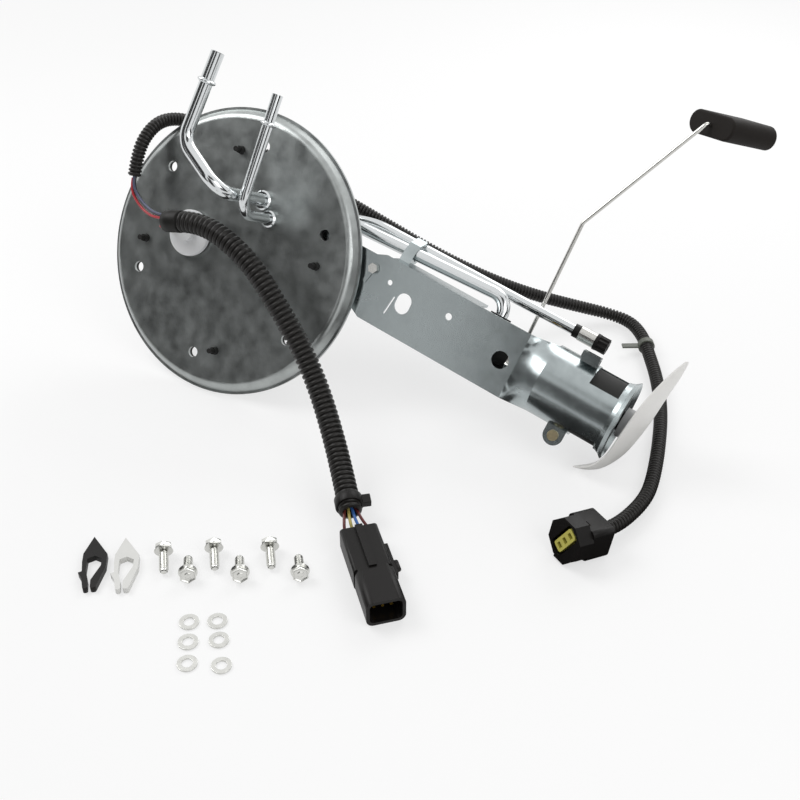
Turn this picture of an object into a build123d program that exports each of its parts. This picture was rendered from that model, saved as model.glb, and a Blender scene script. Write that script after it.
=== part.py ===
import os
from math import atan2, cos, pi, radians, sin, tan

from build123d import *

os.makedirs("parts", exist_ok=True)

# Fuel pump module with its bolts and clips. All sizes are in millimetres, angles in degrees.
# The module rests on the rim of its flange and on its strainer, with the loose hardware beside it.

# Where the flange stands on the table and how it leans
FLANGE_X = -96.015
FLANGE_Y = 28.685
FLANGE_LEAN = 30.0
FLANGE_TURN = 2.37
FLANGE_ROLL = -13.42

# Flange plate
FLANGE_RADIUS = 88.0
PLATE = 1.8
SKIRT_DEPTH = 7.0
SKIRT_SLOPE = 5.0
SKIRT_EDGE = 1.6
SHOULDER = 4.5
BOLT_CIRCLE = 67.2
BOLT_HOLE = 3.3
BOLT_COUNT = 6
BOLT_PHASE = 35.0

# Rubber gasket with pull-through nubs
GASKET_INNER = 55.0
GASKET_OUTER = 77.0
GASKET_THICK = 2.2
NUB_CIRCLE = 61.7
NUB_STEM = 1.6
NUB_BASE = 2.6
NUB_LENGTH = 7.0
NUB_PHASE = 18.8
NUB_COUNT = 4

# Electrical bulkhead
BULKHEAD_X = -28.9
BULKHEAD_Y = -1.9
BULKHEAD_RADIUS = 14.3
BULKHEAD_THICK = 3.0
BULKHEAD_BARREL = 10.5
BULKHEAD_DEPTH = 14.0
BULKHEAD_SEAL = 1.2
BOSS_LENGTH = 17.0
BOSS_WIDTH = 11.0
BOSS_HEIGHT = 3.0
BOSS_SHIFT = 4.0
PIN_RADIUS = 0.8
PIN_SPACING = 5.0

# Steel tubes
FEED_RADIUS = 3.97
RETURN_RADIUS = 3.18
TUBE_WALL = 0.7
FEED_X = 8.5
FEED_Y = 38.5
FEED_RISE = 50.0
RETURN_X = 17.4
RETURN_Y = 30.5
RETURN_RISE = 35.0
TUBE_BEND = 13.0
BEAD_AT = 17.0
BEAD_HEIGHT = 1.5
BEAD_WIDTH = 2.6
FERRULE_WALL = 2.0
FERRULE_HEIGHT = 3.5
FIT = 0.05
GAP = 0.3

# Bracket: a channel that opens into a sleeve round the pump
BRACKET_REACH = 165.7
BRACKET_X = FLANGE_RADIUS + BRACKET_REACH
BRACKET_Y = 24.5
BRACKET_Z = -39.5
BRACKET_TILT = 5.0
SHEET = 1.4
WEB_FACE = 14.0
WEB_HALF = 20.5
WEB_START = -222.0
NECK_START = -66.0
NECK_END = -50.0
LIP_LENGTH = 5.0
LIP_FLARE = 3.0
LOWER_WINDOW = 30.0
TOP_WING_START = -160.0
TOP_WING_END = -100.0
TOP_WING_DEPTH = 18.0
LOWER_WING_START = -164.0
LOWER_WING_DEPTH = 9.0
FOOT_BACK = 214.7
FOOT_Y = 17.0
FOOT_LENGTH = 18.0
FOOT_WIDTH = 15.0
FOOT_DROP = 8.0
PAD_LENGTH = 16.5

# Pump, with the rubber isolator between it and the sleeve
PUMP_RADIUS = 19.0
PUMP_WALL = 1.0
ISOLATOR_WALL = 1.1
SLEEVE_RADIUS = PUMP_RADIUS + ISOLATOR_WALL + SHEET
PUMP_BACK = -52.0
PUMP_FRONT = -4.0
CAP_SEAT = 4.0
NIPPLE_RADIUS = FEED_RADIUS
NIPPLE_BORE = 2.4
NIPPLE_END = -78.0
INLET_RADIUS = 6.0
SHAFT_RADIUS = 1.6
SHAFT_CLEARANCE = 0.04
ROTOR_RADIUS = 12.5
MAGNET_INNER = 13.2
MAGNET_SPACE = 8.0
IMPELLER_RADIUS = 15.5
POPPET_TRAVEL = 2.0

# Hose between the pump and the feed tube
HOSE_RADIUS = 6.6
HOSE_BEND = 10.0
HOSE_BACK = -90.0
HOSE_TOP = 19.0
HOSE_START = 12.0
FEED_FOOT = 13.0
CLAMP_WALL = 1.0
CLAMP_WIDTH = 6.0

# Check valve on the return tube
VALVE_START = -50.0
VALVE_LENGTH = 22.0
VALVE_SOCKET = 8.0
VALVE_BODY = 3.8
VALVE_RING = 5.0
VALVE_END = 4.0
BAND_START = 4.0
BAND_LENGTH = 10.0
BAND_WALL = 0.8

# Clip that holds both tubes on the bracket
CLIP_AT = -156.0
CLIP_WIDTH = 7.0

# Strainer: its middle line is seen from the side, from the upper tip down
STRAINER_THICK = 4.0
STRAINER_HALF = 17.0
STRAINER_LEAN = 14.0
STRAINER_LINE = [(15.6, 46), (11.6, 24), (10.2, 8), (9.0, -6), (7.4, -19), (0.5, -30.5), (-7.6, -34.8)]
PORT_RADIUS = 9.0
PORT_START = 0.5

# Level sender
PIVOT_X = -73.3
PIVOT_Y = -2.0
PIVOT_RADIUS = 2.0
SENDER_LENGTH = 32.0
SENDER_TOP = 8.0
SENDER_DEPTH = 7.0
SENDER_FACE = -12.0
CARD_LENGTH = 10.0
CARD_HEIGHT = 16.0
CARD_THICK = 0.8
ARM_RADIUS = 1.2
HUB_RADIUS = 5.0
HUB_THICK = 4.0
FLOAT_THICK = 13.6
FLOAT_STADIUM = 36.0
FLOAT_DEPTH = 35.0

# Latch, ear and small parts of the bracket
LATCH_BACK = -36.0
LATCH_LENGTH = 11.0
LATCH_TOP = 27.0
EAR_X = -29.0
EAR_Y = -25.0
EAR_Z = 7.0
EAR_RADIUS = 6.0
RIVET_RADIUS = 1.8
RIVET_HEAD = 3.2
GROUND_X = -167.5
GROUND_Y = 10.0
GROUND_RADIUS = 1.9
LUG_THICK = 0.8

# Harness
MAIN_CONDUIT = 6.5
BRANCH_CONDUIT = 4.2
MAIN_BUNDLE = 2.2
BRANCH_BUNDLE = 1.9
PLUG_BUNDLE = 3.0

# Loose hardware
THREAD_RADIUS = 2.5
SCREW_LENGTH = 13.0
HEX_ACROSS = 8.0
HEAD_HEIGHT = 4.0
SCREW_FLANGE = 5.0
WASHER_RADIUS = 5.0
WASHER_BORE = 2.75
WASHER_THICK = 1.0
CLIP_THICK = 3.5


def inside(frame, at, x_dir=(1, 0, 0), z_dir=(0, 0, 1)):
    """A plane whose origin and directions are given in the coordinates of another plane."""
    start = frame.from_local_coords((0, 0, 0))
    return Plane(
        origin=frame.from_local_coords(at),
        x_dir=frame.from_local_coords(x_dir) - start,
        z_dir=frame.from_local_coords(z_dir) - start,
    )


TABLE = Plane(origin=(FLANGE_X, FLANGE_Y, 0))
FLANGE_NORMAL = Vector(
    sin(radians(FLANGE_TURN)) * cos(radians(FLANGE_LEAN)),
    -cos(radians(FLANGE_TURN)) * cos(radians(FLANGE_LEAN)),
    sin(radians(FLANGE_LEAN)),
)
FLANGE_LEVEL = Vector(cos(radians(FLANGE_TURN)), sin(radians(FLANGE_TURN)), 0)
FLANGE_HEIGHT = FLANGE_RADIUS * cos(radians(FLANGE_LEAN)) + SKIRT_DEPTH * sin(radians(FLANGE_LEAN))
FLANGE = Plane(
    origin=(FLANGE_X, FLANGE_Y, FLANGE_HEIGHT),
    x_dir=FLANGE_LEVEL.rotate(Axis((0, 0, 0), FLANGE_NORMAL), FLANGE_ROLL),
    z_dir=FLANGE_NORMAL,
)
TILT = radians(BRACKET_TILT)
BRACKET = inside(
    FLANGE, (BRACKET_X, BRACKET_Y, BRACKET_Z), (cos(TILT), 0, -sin(TILT)), (sin(TILT), 0, cos(TILT))
)
FLANGE_AXIS = Axis(FLANGE.origin, FLANGE.z_dir)
PUMP_AXIS = Axis(BRACKET.origin, BRACKET.x_dir)


def across(x, y=0.0, z=0.0):
    """A plane square to the pump axis; its own x and y are the bracket's y and z."""
    return inside(BRACKET, (x, y, z), (0, 1, 0), (1, 0, 0))


def flange_section(x=0.0, y=0.0):
    """A plane through the flange normal; its own x and y are the flange's x and z."""
    return inside(FLANGE, (x, y, 0), (1, 0, 0), (0, -1, 0))


def bracket_to_flange(x, y, z):
    """A point of the bracket, in the coordinates of the flange."""
    return FLANGE.to_local_coords(BRACKET.from_local_coords((x, y, z)))


def bend_radii(points, most=1000.0):
    """The largest even bends that a free cord's runs allow."""
    radii = []
    for before, at, after in zip(points, points[1:], points[2:]):
        run_in = Vector(*at) - Vector(*before)
        run_out = Vector(*after) - Vector(*at)
        half_turn = radians(run_in.get_angle(run_out)) / 2
        radii.append(min(most, 0.45 * min(run_in.length, run_out.length) / tan(half_turn)))
    return radii


# Flange plate: a pressed disc with a rounded shoulder, a sloping skirt and a small turned-out edge
SKIRT_TOP = FLANGE_RADIUS - SKIRT_SLOPE
SKIRT_FOOT = FLANGE_RADIUS - SKIRT_EDGE
with BuildPart() as flange_plate:
    with BuildSketch(flange_section()) as plate_profile:
        with BuildLine():
            Polyline(
                (0, 0),
                (SKIRT_TOP, 0),
                (SKIRT_FOOT, PLATE - SKIRT_DEPTH),
                (FLANGE_RADIUS, PLATE - SKIRT_DEPTH),
                (FLANGE_RADIUS, -SKIRT_DEPTH),
                (SKIRT_FOOT - PLATE, -SKIRT_DEPTH),
                (SKIRT_TOP - PLATE, -PLATE),
                (0, -PLATE),
                close=True,
            )
        make_face()
        bends = plate_profile.vertices().filter_by_position(Axis.X, SKIRT_TOP - PLATE - FIT, SKIRT_TOP + FIT)
        fillet(bends.sort_by(Axis.Y)[-1], SHOULDER)
        fillet(bends.sort_by(Axis.Y)[0], SHOULDER - PLATE)
    revolve(axis=FLANGE_AXIS)
    with BuildSketch(FLANGE):
        with PolarLocations(BOLT_CIRCLE, BOLT_COUNT, BOLT_PHASE):
            Circle(BOLT_HOLE)
        with PolarLocations(NUB_CIRCLE, NUB_COUNT, NUB_PHASE):
            Circle(NUB_STEM + FIT)
        with Locations((FEED_X, FEED_Y)):
            Circle(FEED_RADIUS + FIT)
        with Locations((RETURN_X, RETURN_Y)):
            Circle(RETURN_RADIUS + FIT)
        with Locations((BULKHEAD_X, BULKHEAD_Y)):
            Circle(BULKHEAD_BARREL + FIT)
    extrude(amount=-SKIRT_DEPTH, mode=Mode.SUBTRACT)

# Gasket under the plate, held by four rubber nubs pulled up through it
with BuildPart() as flange_gasket:
    with BuildSketch(FLANGE.offset(-PLATE - GASKET_THICK)):
        Circle(GASKET_OUTER)
        Circle(GASKET_INNER, mode=Mode.SUBTRACT)
        with PolarLocations(BOLT_CIRCLE, BOLT_COUNT, BOLT_PHASE):
            Circle(BOLT_HOLE, mode=Mode.SUBTRACT)
    extrude(amount=GASKET_THICK)
    with BuildSketch(FLANGE.offset(-PLATE)):
        with PolarLocations(NUB_CIRCLE, NUB_COUNT, NUB_PHASE):
            Circle(NUB_STEM)
    extrude(amount=PLATE)
    with BuildSketch(FLANGE):
        with PolarLocations(NUB_CIRCLE, NUB_COUNT, NUB_PHASE):
            Circle(NUB_BASE)
    extrude(amount=NUB_LENGTH / 2, taper=8)
    with BuildSketch(FLANGE.offset(NUB_LENGTH / 2)):
        with PolarLocations(NUB_CIRCLE, NUB_COUNT, NUB_PHASE):
            Circle(NUB_STEM)
    extrude(amount=NUB_LENGTH / 2)

# Nylon bulkhead with its barrel through the plate, and its seal
with BuildPart() as bulkhead:
    with BuildSketch(FLANGE.offset(BULKHEAD_SEAL)):
        with Locations((BULKHEAD_X, BULKHEAD_Y)):
            Circle(BULKHEAD_RADIUS)
    extrude(amount=BULKHEAD_THICK)
    fillet(bulkhead.edges().filter_by(GeomType.CIRCLE).sort_by(FLANGE_AXIS)[-1], 1.2)
    with BuildSketch(FLANGE.offset(BULKHEAD_SEAL + BULKHEAD_THICK)):
        with Locations((BULKHEAD_X - BOSS_SHIFT, BULKHEAD_Y)):
            SlotOverall(BOSS_LENGTH, BOSS_WIDTH)
    extrude(amount=BOSS_HEIGHT)
    with BuildSketch(FLANGE.offset(BULKHEAD_SEAL)):
        with Locations((BULKHEAD_X, BULKHEAD_Y)):
            Circle(BULKHEAD_BARREL)
    extrude(amount=-BULKHEAD_DEPTH)
    with BuildSketch(FLANGE.offset(BULKHEAD_SEAL - BULKHEAD_DEPTH)):
        with Locations((BULKHEAD_X, BULKHEAD_Y)):
            with GridLocations(PIN_SPACING, PIN_SPACING, 2, 2):
                Circle(PIN_RADIUS)
    extrude(amount=6, mode=Mode.SUBTRACT)

with BuildPart() as bulkhead_seal:
    with BuildSketch(FLANGE):
        with Locations((BULKHEAD_X, BULKHEAD_Y)):
            Circle(BULKHEAD_RADIUS - 0.6)
            Circle(BULKHEAD_BARREL + FIT, mode=Mode.SUBTRACT)
    extrude(amount=BULKHEAD_SEAL)

with BuildPart() as bulkhead_pins:
    with BuildSketch(FLANGE.offset(BULKHEAD_SEAL - BULKHEAD_DEPTH - 5)):
        with Locations((BULKHEAD_X, BULKHEAD_Y)):
            with GridLocations(PIN_SPACING, PIN_SPACING, 2, 2):
                Circle(PIN_RADIUS)
    extrude(amount=11)


def tube(points, bends, radius, wall, bead):
    """A bent tube in the coordinates of the flange, with a rolled bead near its first end."""
    route = [FLANGE.from_local_coords(point) for point in points]
    with BuildPart() as made:
        with BuildLine() as path:
            FilletPolyline(*route, radius=bends)
        with BuildSketch(Plane(origin=route[0], z_dir=route[1] - route[0])):
            Circle(radius)
        sweep(path=path.line)
        along = route[1] - route[0]
        centre = Plane(origin=route[0] + along.normalized() * bead, z_dir=along)
        with BuildSketch(inside(centre, (0, 0, 0), (1, 0, 0), (0, -1, 0))):
            with Locations((radius - wall / 2, 0)):
                Ellipse(BEAD_HEIGHT + wall / 2, BEAD_WIDTH / 2)
        revolve(axis=Axis(centre.origin, centre.z_dir))
        with BuildSketch(Plane(origin=route[0], z_dir=route[1] - route[0])):
            Circle(radius - wall)
        sweep(path=path.line, mode=Mode.SUBTRACT)
    return made


# Feed tube: down from its bead end, through the plate, and along the bracket to the hose
FEED_START = (-195.0, 24.5, -4.0)
FEED_TURN = (HOSE_BACK, 29.5, -4.0)


def hose_line(y):
    """A point of the straight line on which the feed tube drops to the pump outlet."""
    return (HOSE_BACK, y, FEED_TURN[2] * y / FEED_TURN[1])


FEED_DROP = bracket_to_flange(-240.0, 24.0, -4.0)
FEED_POINTS = [
    (-27.6, 106.7, FEED_RISE),
    (-26.0, 54.0, FEED_RISE),
    (FEED_X, FEED_Y, FEED_RISE),
    (FEED_X, FEED_Y, FEED_DROP.Z),
    tuple(bracket_to_flange(*FEED_START)),
    tuple(bracket_to_flange(*FEED_TURN)),
    tuple(bracket_to_flange(*hose_line(FEED_FOOT))),
]
FEED_BENDS = [TUBE_BEND, TUBE_BEND, TUBE_BEND, 60.0, 10.0]
feed_tube = tube(FEED_POINTS, FEED_BENDS, FEED_RADIUS, TUBE_WALL, BEAD_AT)

# Return tube: the same way, to a check valve above the sleeve
RETURN_START = (-195.0, 30.0, -13.5)
RETURN_END = (VALVE_START + VALVE_SOCKET, 31.0, -13.0)
RETURN_DROP = bracket_to_flange(-238.0, 28.0, -14.0)
RETURN_POINTS = [
    (9.3, 100.4, RETURN_RISE),
    (RETURN_X, RETURN_Y, RETURN_RISE),
    (RETURN_X, RETURN_Y, RETURN_DROP.Z),
    tuple(bracket_to_flange(*RETURN_START)),
    tuple(bracket_to_flange(*RETURN_END)),
]
return_tube = tube(RETURN_POINTS, [TUBE_BEND, TUBE_BEND, 60.0], RETURN_RADIUS, TUBE_WALL, BEAD_AT)


def ferrule(x, y, radius):
    """A brazed collar where a tube leaves the plate."""
    with BuildPart() as made:
        with BuildSketch(FLANGE):
            with Locations((x, y)):
                Circle(radius + FERRULE_WALL)
                Circle(radius + FIT, mode=Mode.SUBTRACT)
        extrude(amount=FERRULE_HEIGHT)
        top = made.edges().filter_by(GeomType.CIRCLE).sort_by(FLANGE_AXIS)[-2:]
        chamfer(top.sort_by(SortBy.LENGTH)[-1], 0.9)
    return made


feed_ferrule = ferrule(FEED_X, FEED_Y, FEED_RADIUS)
return_ferrule = ferrule(RETURN_X, RETURN_Y, RETURN_RADIUS)

# Where the sender sits: on the lower wing, beside the hose
SENDER_REAR = SENDER_FACE - SENDER_DEPTH
SENDER_BOTTOM = -WEB_HALF + SHEET
SENDER_CENTRE = PIVOT_X - 4.5
CARD_CENTRE = (PIVOT_X - 11, PIVOT_Y - 6)

# Bracket: flat web, lofted neck, rolled sleeve with a flared lip
SLEEVE_INNER = SLEEVE_RADIUS - SHEET
SLEEVE_CUT = SLEEVE_RADIUS + LIP_FLARE
LIP_BACK = -LIP_LENGTH - 0.8
with BuildPart() as bracket:
    with BuildSketch(BRACKET.offset(WEB_FACE - SHEET)) as web:
        with BuildLine():
            Polyline(
                (WEB_START, -WEB_HALF + 12),
                (WEB_START + 26, -WEB_HALF + 12),
                (WEB_START + 26, WEB_HALF - 22),
                (-180, WEB_HALF - 22),
                (-176, -WEB_HALF + 6),
                (-164, -WEB_HALF),
                (NECK_START, -WEB_HALF),
                (NECK_START, WEB_HALF),
                (-164, WEB_HALF),
                (-170, WEB_HALF - 2.5),
                (WEB_START, WEB_HALF - 2.5),
                close=True,
            )
        make_face()
    extrude(amount=SHEET)
    with BuildSketch(across(TOP_WING_START)):
        with Locations((WEB_HALF - SHEET / 2, WEB_FACE - TOP_WING_DEPTH / 2)):
            Rectangle(SHEET, TOP_WING_DEPTH)
    extrude(amount=TOP_WING_END - TOP_WING_START)
    with BuildSketch(across(LOWER_WING_START)):
        with Locations((-WEB_HALF + SHEET / 2, WEB_FACE - LOWER_WING_DEPTH / 2)):
            Rectangle(SHEET, LOWER_WING_DEPTH)
    extrude(amount=NECK_START - LOWER_WING_START)
    with BuildSketch(across(SENDER_CENTRE - SENDER_LENGTH / 2)):
        with Locations((-WEB_HALF + SHEET / 2, (WEB_FACE + SENDER_REAR) / 2)):
            Rectangle(SHEET, WEB_FACE - SENDER_REAR)
    extrude(amount=NECK_START - SENDER_CENTRE + SENDER_LENGTH / 2)
    with BuildSketch(across(NECK_START)) as neck_flat:
        with Locations((0, WEB_FACE - SHEET / 2)):
            Rectangle(2 * WEB_HALF, SHEET)
    with BuildSketch(across(NECK_END)) as neck_round:
        with BuildLine():
            outer = CenterArc((0, 0), SLEEVE_RADIUS, 10, 160)
            inner = CenterArc((0, 0), SLEEVE_INNER, 10, 160)
            Line(outer @ 0, inner @ 0)
            Line(outer @ 1, inner @ 1)
        make_face()
    loft(sections=[neck_flat.sketch, neck_round.sketch], ruled=True)
    with BuildSketch(across(NECK_END)):
        Circle(SLEEVE_RADIUS)
        Circle(SLEEVE_INNER, mode=Mode.SUBTRACT)
    extrude(amount=-NECK_END - LIP_LENGTH)
    with BuildSketch(BRACKET):
        with BuildLine():
            Polyline(
                (-LIP_LENGTH, SLEEVE_INNER),
                (-LIP_LENGTH, SLEEVE_RADIUS),
                (-LIP_LENGTH / 2, SLEEVE_RADIUS + LIP_FLARE / 3),
                (0, SLEEVE_RADIUS + LIP_FLARE),
                (0.6, SLEEVE_RADIUS + LIP_FLARE - SHEET),
                (-LIP_LENGTH / 2 + 0.6, SLEEVE_INNER + LIP_FLARE / 3),
                close=True,
            )
        make_face()
    revolve(axis=PUMP_AXIS)
    # The sheet folds into a latch on top and an ear below
    with BuildSketch(across(LATCH_BACK)):
        with BuildLine():
            Polyline(
                (SLEEVE_RADIUS - 1.6, 5.6),
                (LATCH_TOP, 5.6),
                (LATCH_TOP, 12.4),
                (LATCH_TOP - 4, 12.4),
                (LATCH_TOP - 4, 11.2),
                (LATCH_TOP - 1.2, 11.2),
                (LATCH_TOP - 1.2, 6.8),
                (SLEEVE_RADIUS - 1.6, 6.8),
                close=True,
            )
        make_face()
    extrude(amount=LATCH_LENGTH)
    with BuildSketch(BRACKET.offset(EAR_Z)):
        with Locations((EAR_X, EAR_Y)):
            Circle(EAR_RADIUS)
        with Locations((EAR_X, (EAR_Y - SLEEVE_RADIUS + 2.6) / 2)):
            Rectangle(2 * EAR_RADIUS, -SLEEVE_RADIUS + 2.6 - EAR_Y)
    extrude(amount=SHEET)
    with BuildSketch(BRACKET.offset(EAR_Z)):
        with Locations((EAR_X, EAR_Y)):
            Circle(RIVET_RADIUS + FIT)
    extrude(amount=SHEET, mode=Mode.SUBTRACT)
    # Windows in the sleeve show the pump above and below
    with BuildSketch(across(LATCH_BACK + LATCH_LENGTH + 1)):
        with BuildLine():
            Polyline((13, SLEEVE_CUT), (13, 11), (14.5, -8), (SLEEVE_CUT, -8), (SLEEVE_CUT, SLEEVE_CUT), close=True)
        make_face()
    extrude(amount=LIP_BACK - LATCH_BACK - LATCH_LENGTH - 1, mode=Mode.SUBTRACT)
    with BuildSketch(across(EAR_X + EAR_RADIUS + 1)):
        with Locations((-SLEEVE_RADIUS, 0)):
            Rectangle(15, LOWER_WINDOW)
    extrude(amount=LIP_BACK - EAR_X - EAR_RADIUS - 1, mode=Mode.SUBTRACT)
    # Holes, slit and notch in the web
    with BuildSketch(BRACKET.offset(WEB_FACE)):
        with Locations((-155, 7)):
            Circle(1.6)
        with Locations((-142.2, -0.3)):
            SlotOverall(12.5, 9.6, rotation=90)
        with Locations((-149.5, -5)):
            Rectangle(1.0, 12, rotation=-8)
        with Locations((-114, 6.3)):
            Circle(2.1)
        with Locations((-75.3, -0.9)):
            Circle(5.2)
        with Locations((GROUND_X, GROUND_Y)):
            Circle(GROUND_RADIUS + FIT)
    extrude(amount=-SHEET, mode=Mode.SUBTRACT)

# Foot that joins the web to the underside of the plate
with BuildPart() as bracket_foot:
    with BuildSketch(FLANGE.offset(-PLATE)):
        with Locations((BRACKET_X - FOOT_BACK, FOOT_Y)):
            Rectangle(FOOT_LENGTH, FOOT_WIDTH)
    extrude(amount=-FOOT_DROP)
    with BuildSketch(BRACKET.offset(WEB_FACE)):
        with Locations((WEB_START + PAD_LENGTH / 2, FOOT_WIDTH - WEB_HALF - 2.5)):
            Rectangle(PAD_LENGTH, FOOT_WIDTH - 1)
    extrude(amount=SHEET)
    split(bisect_by=BRACKET.offset(WEB_FACE), keep=Keep.TOP)

# Earth screw and its lug on the web
with BuildPart() as ground_screw:
    with BuildSketch(BRACKET.offset(WEB_FACE - SHEET - 4)):
        with Locations((GROUND_X, GROUND_Y)):
            Circle(GROUND_RADIUS)
    extrude(amount=SHEET + 4 + LUG_THICK)
    with BuildSketch(BRACKET.offset(WEB_FACE + LUG_THICK)):
        with Locations((GROUND_X, GROUND_Y)):
            RegularPolygon(3.1, 6)
    extrude(amount=2.4)
with BuildPart() as ground_lug:
    with BuildSketch(BRACKET.offset(WEB_FACE)):
        with Locations((GROUND_X, GROUND_Y)):
            Circle(3.4)
        with Locations((GROUND_X - 1.5, GROUND_Y - 6)):
            Rectangle(2.4, 8, rotation=-14)
        with Locations((GROUND_X, GROUND_Y)):
            Circle(GROUND_RADIUS + FIT, mode=Mode.SUBTRACT)
    extrude(amount=LUG_THICK)

# Brass rivet in the ear
with BuildPart() as ear_rivet:
    with BuildSketch(BRACKET.offset(EAR_Z)):
        with Locations((EAR_X, EAR_Y)):
            Circle(RIVET_RADIUS)
    extrude(amount=SHEET)
    with BuildSketch(BRACKET.offset(EAR_Z + SHEET)):
        with Locations((EAR_X, EAR_Y)):
            Circle(RIVET_HEAD)
    extrude(amount=1.2)
    with BuildSketch(BRACKET.offset(EAR_Z)):
        with Locations((EAR_X, EAR_Y)):
            Circle(RIVET_HEAD)
    extrude(amount=-1.0)


def along_line(start, end, x):
    """The point of a line in bracket coordinates that lies at a given x."""
    share = (x - start[0]) / (end[0] - start[0])
    return tuple(a + share * (b - a) for a, b in zip(start, end))


# Clip that holds both tubes on the upper wing
feed_there = along_line(FEED_START, FEED_TURN, CLIP_AT)
return_there = along_line(RETURN_START, RETURN_END, CLIP_AT)
with BuildPart() as tube_clip:
    with BuildSketch(across(CLIP_AT - CLIP_WIDTH / 2)):
        with BuildLine():
            Polyline(
                (WEB_HALF, 3.5),
                (feed_there[1] + 1, feed_there[2] + FEED_RADIUS + 1.4),
                (feed_there[1] + FEED_RADIUS + 1.4, feed_there[2] + 1.5),
                (return_there[1] + RETURN_RADIUS + 1.4, return_there[2] + 1.5),
                (return_there[1] + RETURN_RADIUS, return_there[2] - RETURN_RADIUS - 1),
                (return_there[1] - RETURN_RADIUS, return_there[2] - RETURN_RADIUS - 1),
                (WEB_HALF, feed_there[2] - 3),
                close=True,
            )
        make_face()
        with Locations(feed_there[1:]):
            Circle(FEED_RADIUS + 0.25, mode=Mode.SUBTRACT)
        with Locations(return_there[1:]):
            Circle(RETURN_RADIUS + 0.25, mode=Mode.SUBTRACT)
    extrude(amount=CLIP_WIDTH)

# Check valve on the end of the return tube
valve_plane = Plane(
    origin=BRACKET.from_local_coords(along_line(RETURN_START, RETURN_END, VALVE_START)),
    z_dir=BRACKET.from_local_coords(RETURN_END) - BRACKET.from_local_coords(RETURN_START),
)
with BuildPart() as return_valve:
    with BuildSketch(valve_plane):
        Circle(VALVE_END)
    extrude(amount=BAND_START)
    with BuildSketch(valve_plane.offset(BAND_START)):
        Circle(VALVE_BODY)
    extrude(amount=BAND_LENGTH)
    with BuildSketch(valve_plane.offset(BAND_START + BAND_LENGTH)):
        Circle(VALVE_RING)
    extrude(amount=2)
    with BuildSketch(valve_plane.offset(BAND_START + BAND_LENGTH + 2)):
        Circle(VALVE_END)
        with PolarLocations(VALVE_END, 10):
            Circle(0.8)
    extrude(amount=VALVE_LENGTH - BAND_START - BAND_LENGTH - 2)
    with BuildSketch(valve_plane):
        Circle(RETURN_RADIUS + FIT)
    extrude(amount=VALVE_SOCKET + GAP, mode=Mode.SUBTRACT)
    with BuildSketch(valve_plane):
        Circle(1.6)
    extrude(amount=VALVE_LENGTH, mode=Mode.SUBTRACT)
with BuildPart() as valve_band:
    with BuildSketch(valve_plane.offset(BAND_START)):
        Circle(VALVE_BODY + BAND_WALL)
        Circle(VALVE_BODY, mode=Mode.SUBTRACT)
    extrude(amount=BAND_LENGTH)


def turned(profile):
    """A piece turned about the pump axis, from its profile of x and radius."""
    with BuildPart() as made:
        with BuildSketch(BRACKET):
            with BuildLine():
                Polyline(*profile, close=True)
            make_face()
        revolve(axis=PUMP_AXIS)
    return made


# Pump: rubber isolator, steel can, end caps, motor and impeller
ISOLATOR_OUTER = SLEEVE_INNER - FIT
pump_isolator = turned(
    [
        (NECK_END + 1, PUMP_RADIUS + FIT),
        (NECK_END + 1, ISOLATOR_OUTER),
        (-LIP_LENGTH, ISOLATOR_OUTER),
        (-LIP_LENGTH, PUMP_RADIUS + FIT),
    ]
)
CAN_INNER = PUMP_RADIUS - PUMP_WALL
pump_can = turned(
    [(PUMP_BACK, CAN_INNER), (PUMP_BACK, PUMP_RADIUS), (PUMP_FRONT, PUMP_RADIUS), (PUMP_FRONT, CAN_INNER)]
)
CAP_RADIUS = CAN_INNER - FIT
INLET_FACE = PUMP_FRONT - CAP_SEAT - 1
INLET_END = 5.0
pump_inlet_cap = turned(
    [
        (INLET_FACE, 3.0),
        (INLET_FACE, CAP_RADIUS),
        (PUMP_FRONT, CAP_RADIUS),
        (PUMP_FRONT, PUMP_RADIUS - 0.4),
        (PUMP_FRONT + 2, PUMP_RADIUS - 0.9),
        (PUMP_FRONT + 2, INLET_RADIUS),
        (INLET_END, INLET_RADIUS),
        (INLET_END, INLET_RADIUS - 1.4),
        (PUMP_FRONT + 2, INLET_RADIUS - 1.4),
        (PUMP_FRONT, 3.0),
    ]
)
BRUSH_RING = PUMP_BACK + 12
CAP_FACE = PUMP_BACK + 6
BORE_RADIUS = SHAFT_RADIUS + SHAFT_CLEARANCE
COMMUTATOR = 5.5
POPPET_RADIUS = NIPPLE_BORE - 0.05
VALVE_SEAT = PUMP_BACK - 10
with BuildPart() as pump_outlet_cap:
    with BuildSketch(BRACKET):
        with BuildLine():
            Polyline(
                (NIPPLE_END, NIPPLE_BORE - 0.5),
                (NIPPLE_END, NIPPLE_RADIUS),
                (PUMP_BACK - 10, NIPPLE_RADIUS),
                (PUMP_BACK - 8, 11),
                (PUMP_BACK - 4, 15.5),
                (PUMP_BACK, PUMP_RADIUS - 0.5),
                (PUMP_BACK, CAP_RADIUS),
                (BRUSH_RING, CAP_RADIUS),
                (BRUSH_RING, COMMUTATOR + 1.5),
                (CAP_FACE, COMMUTATOR + 1.5),
                (CAP_FACE, BORE_RADIUS),
                (CAP_FACE - 4, BORE_RADIUS),
                (CAP_FACE - 4, 1.5),
                (VALVE_SEAT, 1.5),
                (VALVE_SEAT, NIPPLE_BORE),
                (VALVE_SEAT - POPPET_TRAVEL - 6, NIPPLE_BORE),
                (VALVE_SEAT - POPPET_TRAVEL - 6, NIPPLE_BORE - 0.5),
                close=True,
            )
        make_face()
    revolve(axis=PUMP_AXIS)
    with BuildSketch(across(BRUSH_RING - 1)):
        Rectangle(26, 4)
    extrude(amount=-4, mode=Mode.SUBTRACT)
    with BuildSketch(across(PUMP_BACK - 1)):
        with GridLocations(18, 1, 2, 1):
            Rectangle(0.8, 4)
    extrude(amount=-10, mode=Mode.SUBTRACT)
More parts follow.
